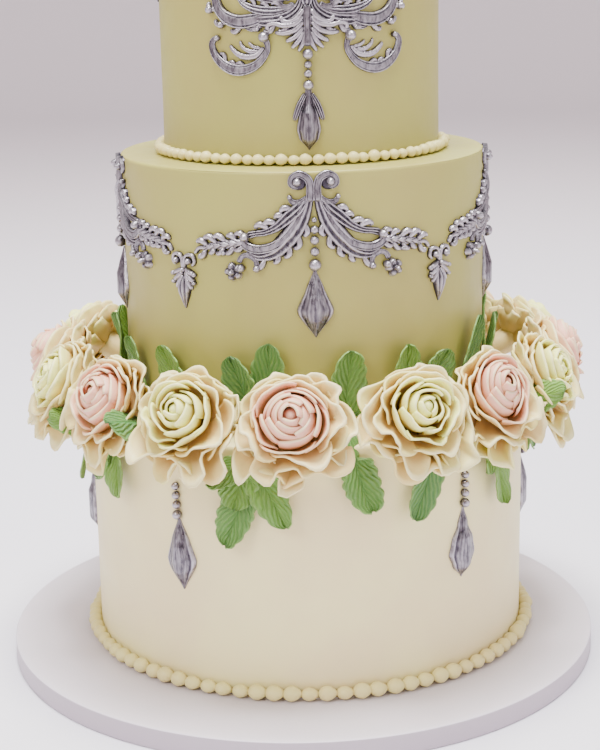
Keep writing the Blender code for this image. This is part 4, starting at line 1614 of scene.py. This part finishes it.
@dataclass
class Spray:
    """The leaves in one gap between flowers, on a mound of icing that crosses the ledge's edge.

    lift, cup and crease shape a leaf's face, and mound is half the mound's width, depth and height.
    """

    node: str
    tiers: Tiers
    azimuth: float
    leaves: Sequence[LeafPlace]
    seed: int
    outward: OutwardLeaf | None = None
    thickness: float = 0.0009
    curl: float = 0.0060
    lift: float = 0.0012
    cup: float = 0.0026
    lobes: float = 5.0
    crease: float = 0.0006
    mound: tuple[float, float, float] = (0.0085, 0.0132, 0.0058)
    mound_droop: float = 0.009
    mound_drop: float = 0.0002

    def __post_init__(self) -> None:
        """Seed the leaves' unevenness."""
        self.draw = random.Random(self.seed)

    def blade(
        self, shape: Shape, place: FlatMap, start: Vector, end: Vector, width: float, curl: float,
    ) -> None:
        """Add a leaf in a flat (x, y, out) space of metres.

        Args:
            shape: The spray under construction.
            place: The map from that space into the cake's frame.
            start: The leaf's foot.
            end: Its tip.
            width: Its width.
            curl: How far out the tip curls.
        """
        draw = self.draw
        along = end - start
        across = Vector((along.y, -along.x)).normalized() * width / 2
        bend = draw.uniform(-0.10, 0.10)
        phase, tone = draw.uniform(0.0, math.tau), draw.uniform(0.0, 1.0)
        wave = draw.uniform(0.0006, 0.0016)
        cup = self.cup * draw.uniform(0.5, 1.2)

        def rule(s: float, t: float) -> Placed:
            """Place a point of the leaf, which is lobed, cupped and waved, with a crease along its midrib."""
            lobe = abs(math.sin(math.pi * self.lobes * (t + 0.06 * s) + phase)) ** 0.8
            breadth = math.sin(math.pi * (0.05 + 0.95 * t) ** 0.80) ** 0.38 if 0.0 < t < 1.0 else 0.12
            breadth *= 0.85 + 0.15 * lobe
            side = s * breadth
            forward = 0.10 * abs(s) * (1.0 - t)
            flat = start + along * (t + forward * 0.4) + across * (side + bend * math.sin(math.pi * t))
            out = self.lift + curl * t ** 1.6 + cup * abs(side) ** 1.4
            out -= self.crease * math.exp(-(side / 0.10) ** 2)
            out += wave * (1.0 + math.sin(phase + 7.0 * t + 2.0 * s)) * abs(s)
            return place(flat.x, flat.y, out), {"across": s, "along": t, "tone": tone}

        shape.patch(16, 22, rule)

    def on_wall(self, radius: float) -> FlatMap:
        """Unroll a tier's side at the gap.

        Args:
            radius: The tier's radius.

        Returns:
            The map from (distance round the tier, height, distance out) into the cake's frame.
        """
        def place(x: float, y: float, out: float) -> Vector:
            """Roll a point up again."""
            turn = math.radians(self.azimuth) + x / radius
            away = radius + out
            return Vector((away * math.sin(turn), -away * math.cos(turn), y))

        return place

    def add_outward(self, shape: Shape, leaf: OutwardLeaf) -> None:
        """Add the leaf that stands out between the flowers.

        Args:
            shape: The spray under construction.
            leaf: Its twist, place and size.
        """
        azimuth, twist = math.radians(self.azimuth), math.radians(leaf.twist_deg)
        around = Vector((math.cos(azimuth), math.sin(azimuth), 0.0))
        away = Vector((math.sin(azimuth), -math.cos(azimuth), 0.0))
        rise = Vector((0.0, 0.0, 1.0))
        ahead = (away + leaf.slope * rise).normalized()
        across = around * math.cos(twist) + rise * math.sin(twist)
        face = ahead.cross(across) * -1.0
        foot = away * leaf.foot_out + rise * leaf.foot_up

        def place(x: float, y: float, out: float) -> Vector:
            """Turn a flat point with the leaf."""
            return foot + across * x + ahead * y + face * out

        tip = Vector((leaf.tip_aside, leaf.length))
        self.blade(shape, place, Vector((0.0, 0.0)), tip, leaf.breadth * leaf.length, leaf.curl)

    def build(self, finish: bpy.types.Material) -> bpy.types.Object:
        """Add the leaves and the mound that they grow from.

        Args:
            finish: The leaves' finish.

        Returns:
            The piece.
        """
        shape = Shape(f"{self.node}_blades", ("across", "along", "tone"))
        ledge = self.tiers.bottom.top
        for leaf in self.leaves:
            radius = self.tiers.middle.radius if leaf.tip_up * MM > ledge else self.tiers.bottom.radius
            span = radius * math.pi / 180
            start = Vector((leaf.base_deg * span, leaf.base_up * MM))
            end = Vector((leaf.tip_deg * span, leaf.tip_up * MM))
            self.blade(shape, self.on_wall(radius), start, end, leaf.width * MM, self.curl)
        if self.outward:
            self.add_outward(shape, self.outward)
        middle, bottom = self.tiers.middle.radius, self.tiers.bottom.radius
        place = self.on_wall(bottom)
        wide, deep, high = self.mound

        def rule(way: Vector) -> Placed:
            """Place a point of the mound, which droops over the ledge's edge."""
            out = (middle + deep - bottom) + deep * way.y
            up = ledge - self.mound_drop + high * way.z - self.mound_droop * max(0.0, way.y) ** 2
            values = {"across": way.x, "along": 0.5 + 0.5 * way.y, "tone": 0.4}
            return place(wide * way.x, up, out), values

        shape.ball(18, 14, rule)
        return shape.build(finish, [self.node], "leaf_icing", self.thickness)


# The leaves of the gaps that the photograph shows, from left to right.
FRONT_GAPS: Sequence[Sequence[LeafPlace]] = (
    (LeafPlace(-2.0, 166, -4.0, 203, 20), LeafPlace(1.5, 150, 7.0, 117, 20),
     LeafPlace(-1.0, 150, -4.0, 122, 21)),
    (LeafPlace(-1.5, 166, -8.5, 204, 21), LeafPlace(2.0, 166, 5.0, 192, 18)),
    (LeafPlace(-1.5, 166, -7.0, 203, 20), LeafPlace(1.5, 166, 4.2, 211, 21),
     LeafPlace(-1.0, 150, -9.5, 138, 16), LeafPlace(-1.0, 151, -3.0, 124, 23),
     LeafPlace(1.5, 150, 9.2, 115, 20), LeafPlace(-0.6, 134, -5.2, 103, 20)),
    (LeafPlace(1.5, 166, 2.6, 206, 21), LeafPlace(1.0, 152, 4.6, 122, 21)),
    (LeafPlace(-1.5, 166, -4.5, 206, 20), LeafPlace(2.0, 166, 10.4, 199, 22),
     LeafPlace(-1.5, 151, -9.2, 114, 19)),
    (LeafPlace(0.5, 166, 6.0, 212, 18), LeafPlace(-1.0, 152, -8.5, 130, 19),
     LeafPlace(0.0, 151, -1.6, 108, 21)),
)
# The leaves that stand out between flowers, by the places of the flowers before them.
OUTWARD_LEAVES = {
    -3: OutwardLeaf(-75.0, 0.158, 0.027), -2: OutwardLeaf(-50.0, 0.168, 0.033),
    2: OutwardLeaf(75.0, 0.167, 0.031), 5: OutwardLeaf(30.0, 0.168, 0.033),
    -6: OutwardLeaf(-30.0, 0.168, 0.033),
}


@dataclass(frozen=True)
class Garland:
    """The ring of flowers on the ledge, with the leaves in its gaps.

    The gaps from first_gap on are those of the photograph. The others repeat some of them.
    """

    tiers: Tiers
    ring: FlowerRing = FlowerRing()
    first_gap: int = -3
    back_gaps: tuple[int, ...] = (3, 1, 3, 5)
    seed: int = 700
    spray_seed: int = 750

    def leaves(self, index: int) -> Sequence[LeafPlace]:
        """Choose the leaves of the gap after a flower.

        Args:
            index: The flower's place, counted from the front one.

        Returns:
            The leaves.
        """
        order = index - self.first_gap
        in_front = 0 <= order < len(FRONT_GAPS)
        return FRONT_GAPS[order if in_front else self.back_gaps[order % len(self.back_gaps)]]

    def build(self, petals: dict[Kind, bpy.types.Material], leaf: bpy.types.Material) -> None:
        """Build the flowers, pink and green by turns, and then the sprays between them.

        Args:
            petals: The finish of each kind of flower.
            leaf: The leaves' finish.
        """
        half = self.ring.count // 2
        numbered = [(number, number - half) for number in range(1, self.ring.count + 1)]
        for number, index in numbered:
            kind = Kind.GREEN if index % 2 else Kind.PINK
            flower = Flower(f"flower_{number:02d}", self.ring, index, kind, self.seed + number)
            flower.build(petals[kind])
        for number, index in numbered:
            middle = (self.ring.azimuth(index) + self.ring.azimuth(index + 1)) / 2
            spray = Spray(
                f"leaves_{number:02d}", self.tiers, middle, self.leaves(index), self.spray_seed + number,
                OUTWARD_LEAVES.get(index),
            )
            spray.build(leaf)


# Stage

@dataclass(frozen=True)
class View:
    """The photograph's camera."""

    place: tuple[float, float, float] = (0.01105, -1.00128, 0.42371)
    pitch: float = 0.25331
    yaw: float = -0.01466
    roll: float = -0.02012
    focal_px: float = 1700.59
    height_px: float = 750.0
    sensor_mm: float = 36.0

    def build(self) -> bpy.types.Object:
        """Set the camera and make it the scene's."""
        ahead = Vector((
            math.sin(self.yaw) * math.cos(self.pitch), math.cos(self.yaw) * math.cos(self.pitch),
            -math.sin(self.pitch),
        ))
        level = Vector((math.cos(self.yaw), -math.sin(self.yaw), 0.0))
        above = level.cross(ahead)
        right = level * math.cos(self.roll) + above * math.sin(self.roll)
        up = above * math.cos(self.roll) - level * math.sin(self.roll)
        data = bpy.data.cameras.new("camera")
        data.sensor_width = self.sensor_mm
        data.lens = self.focal_px / self.height_px * self.sensor_mm
        data.clip_start = 0.01
        camera = bpy.data.objects.new("camera", data)
        turn = Matrix((right, up, -ahead)).transposed().to_4x4()
        camera.matrix_world = Matrix.Translation(self.place) @ turn
        bpy.context.scene.collection.objects.link(camera)
        bpy.context.scene.camera = camera
        return camera


@dataclass(frozen=True)
class Lamp:
    """A soft area light that looks at the cake's middle."""

    name: str
    place: tuple[float, float, float]
    size: float
    power: float
    colour: Colour = (1.0, 1.0, 1.0)
    aim: tuple[float, float, float] = (0.0, 0.0, 0.22)

    def build(self) -> None:
        """Hang the light."""
        data = bpy.data.lights.new(self.name, "AREA")
        data.shape = "SQUARE"
        data.size = self.size
        data.energy = self.power
        data.color = self.colour
        lamp = bpy.data.objects.new(self.name, data)
        ray = Vector(self.aim) - Vector(self.place)
        lamp.rotation_euler = ray.to_track_quat("-Z", "Y").to_euler()
        lamp.location = self.place
        bpy.context.scene.collection.objects.link(lamp)


@dataclass(frozen=True)
class Studio:
    """A pale round floor that sweeps up into a wall, a pale surround and soft lights."""

    rim: float = 3.2
    sweep: float = 1.0
    wall: float = 2.2
    steps: int = 96
    sweep_rows: int = 12
    floor_colour: Colour = (0.79, 0.765, 0.83)
    backdrop: Colour = (0.83, 0.735, 0.765)
    fade: tuple[float, float] = (0.3, 2.2)
    sky: Colour = (0.93, 0.92, 0.95)
    sky_power: float = 0.66
    lamps: tuple[Lamp, ...] = (
        Lamp("key", (-1.3, -1.7, 1.7), 1.0, 38.0, (1.0, 0.98, 0.95)),
        Lamp("fill", (1.7, -1.3, 1.0), 1.6, 16.0, (0.97, 0.98, 1.0)),
        Lamp("top", (0.0, -0.1, 2.2), 0.8, 135.0),
        Lamp("back", (0.3, 1.5, 1.6), 1.2, 12.0),
    )

    def floor(self) -> bpy.types.Object:
        """Spin the floor and give it a paper that fades from the floor's colour to the backdrop's."""
        profile = [(self.rim * share, 0.0) for share in (0.0, 0.1, 0.3, 0.6, 1.0)]
        for row in range(1, self.sweep_rows + 1):
            angle = math.radians(90.0 * row / self.sweep_rows)
            profile.append((self.rim + self.sweep * math.sin(angle), self.sweep * (1.0 - math.cos(angle))))
        profile.append((self.rim + self.sweep, self.wall))
        shape = turned("floor", profile, self.steps)
        mesh = bpy.data.meshes.new("floor")
        bmesh.ops.recalc_face_normals(shape.work, faces=shape.work.faces)
        shape.work.to_mesh(mesh)
        shape.work.free()
        graph = Graph("floor_paper")
        far = graph.node("ShaderNodeVectorMath", {"operation": "LENGTH"}, {0: graph.place()}, "Value")
        paper = graph.mix(far.between(*self.fade), self.floor_colour, self.backdrop)
        mesh.materials.append(graph.finish(base_color=paper, roughness=0.85))
        mesh.shade_smooth()
        floor = bpy.data.objects.new("floor", mesh)
        bpy.context.scene.collection.objects.link(floor)
        floor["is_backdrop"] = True
        return floor

    def build(self) -> None:
        """Lay the floor, light it and set the surround."""
        self.floor()
        world = bpy.data.worlds.new("surround")
        world.use_nodes = True
        background = world.node_tree.nodes["Background"]
        background.inputs["Color"].default_value = (*self.sky, 1.0)
        background.inputs["Strength"].default_value = self.sky_power
        bpy.context.scene.world = world
        for lamp in self.lamps:
            lamp.build()


def main() -> None:
    """Build the cake from the board up, then the stage."""
    logging.basicConfig(level=logging.INFO, format="%(message)s")
    ivory = IcingFinish("ivory_rolled_icing", (0.85, 0.755, 0.365), (0.79, 0.665, 0.35)).build()
    green = IcingFinish("green_rolled_icing", (0.385, 0.360, 0.080), (0.375, 0.330, 0.082)).build()
    beads = IcingFinish("piped_icing", (0.80, 0.71, 0.29), (0.76, 0.65, 0.28), 0.42, 0.0004).build()
    board = Board()
    # The foil's third colour is the painted shade for the board's side.
    foil = FoilFinish(
        "drum_foil_paper", (0.74, 0.67, 0.74), (0.72, 0.66, 0.72), (0.46, 0.39, 0.44), board.top).build()
    # The silver's second colour is the painted shade in the hollows.
    silver = SilverFinish("silver_leaf_paint", (0.43, 0.395, 0.43), (0.045, 0.037, 0.050)).build()
    # In both petal finishes the third colour is the painted shade in the folds.
    pink = PetalFinish(
        "pink_sugar_petals", (0.82, 0.43, 0.31), (0.80, 0.63, 0.27), (0.55, 0.31, 0.09),
        (0.78, 0.72, 0.22)).build()
    pale_green = PetalFinish(
        "green_sugar_petals", (0.88, 0.90, 0.31), (0.80, 0.65, 0.27), (0.55, 0.33, 0.09),
        (0.78, 0.73, 0.22)).build()
    leaf = LeafFinish(
        "piped_leaf_icing", (0.060, 0.190, 0.048), (0.155, 0.31, 0.032), (0.26, 0.43, 0.11)).build()

    tiers = Tiers(
        Tier("tier_bottom", "ivory_icing", 0.0030),
        Tier("tier_middle", "green_icing", 0.0020),
        Tier("tier_top", "green_icing", 0.0022),
    )
    board.build(foil)
    tiers.build(ivory, green)
    draw = random.Random(BEAD_SEED)
    BeadRing("border_bottom", 86, 0.0082).build(beads, tiers.bottom, board.top, draw)
    BeadRing("border_top", 80, 0.0060).build(beads, tiers.top, tiers.middle.top, draw)
    Garland(tiers).build({Kind.PINK: pink, Kind.GREEN: pale_green}, leaf)
    SilverWork(tiers).build(silver)
    View().build()
    Studio().build()

    boxes = {"cad": CAD_BOX, "visual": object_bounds()}
    {key: [list(corner) for corner in box] for key, box in boxes.items()}


if __name__ == "__main__":
    main()
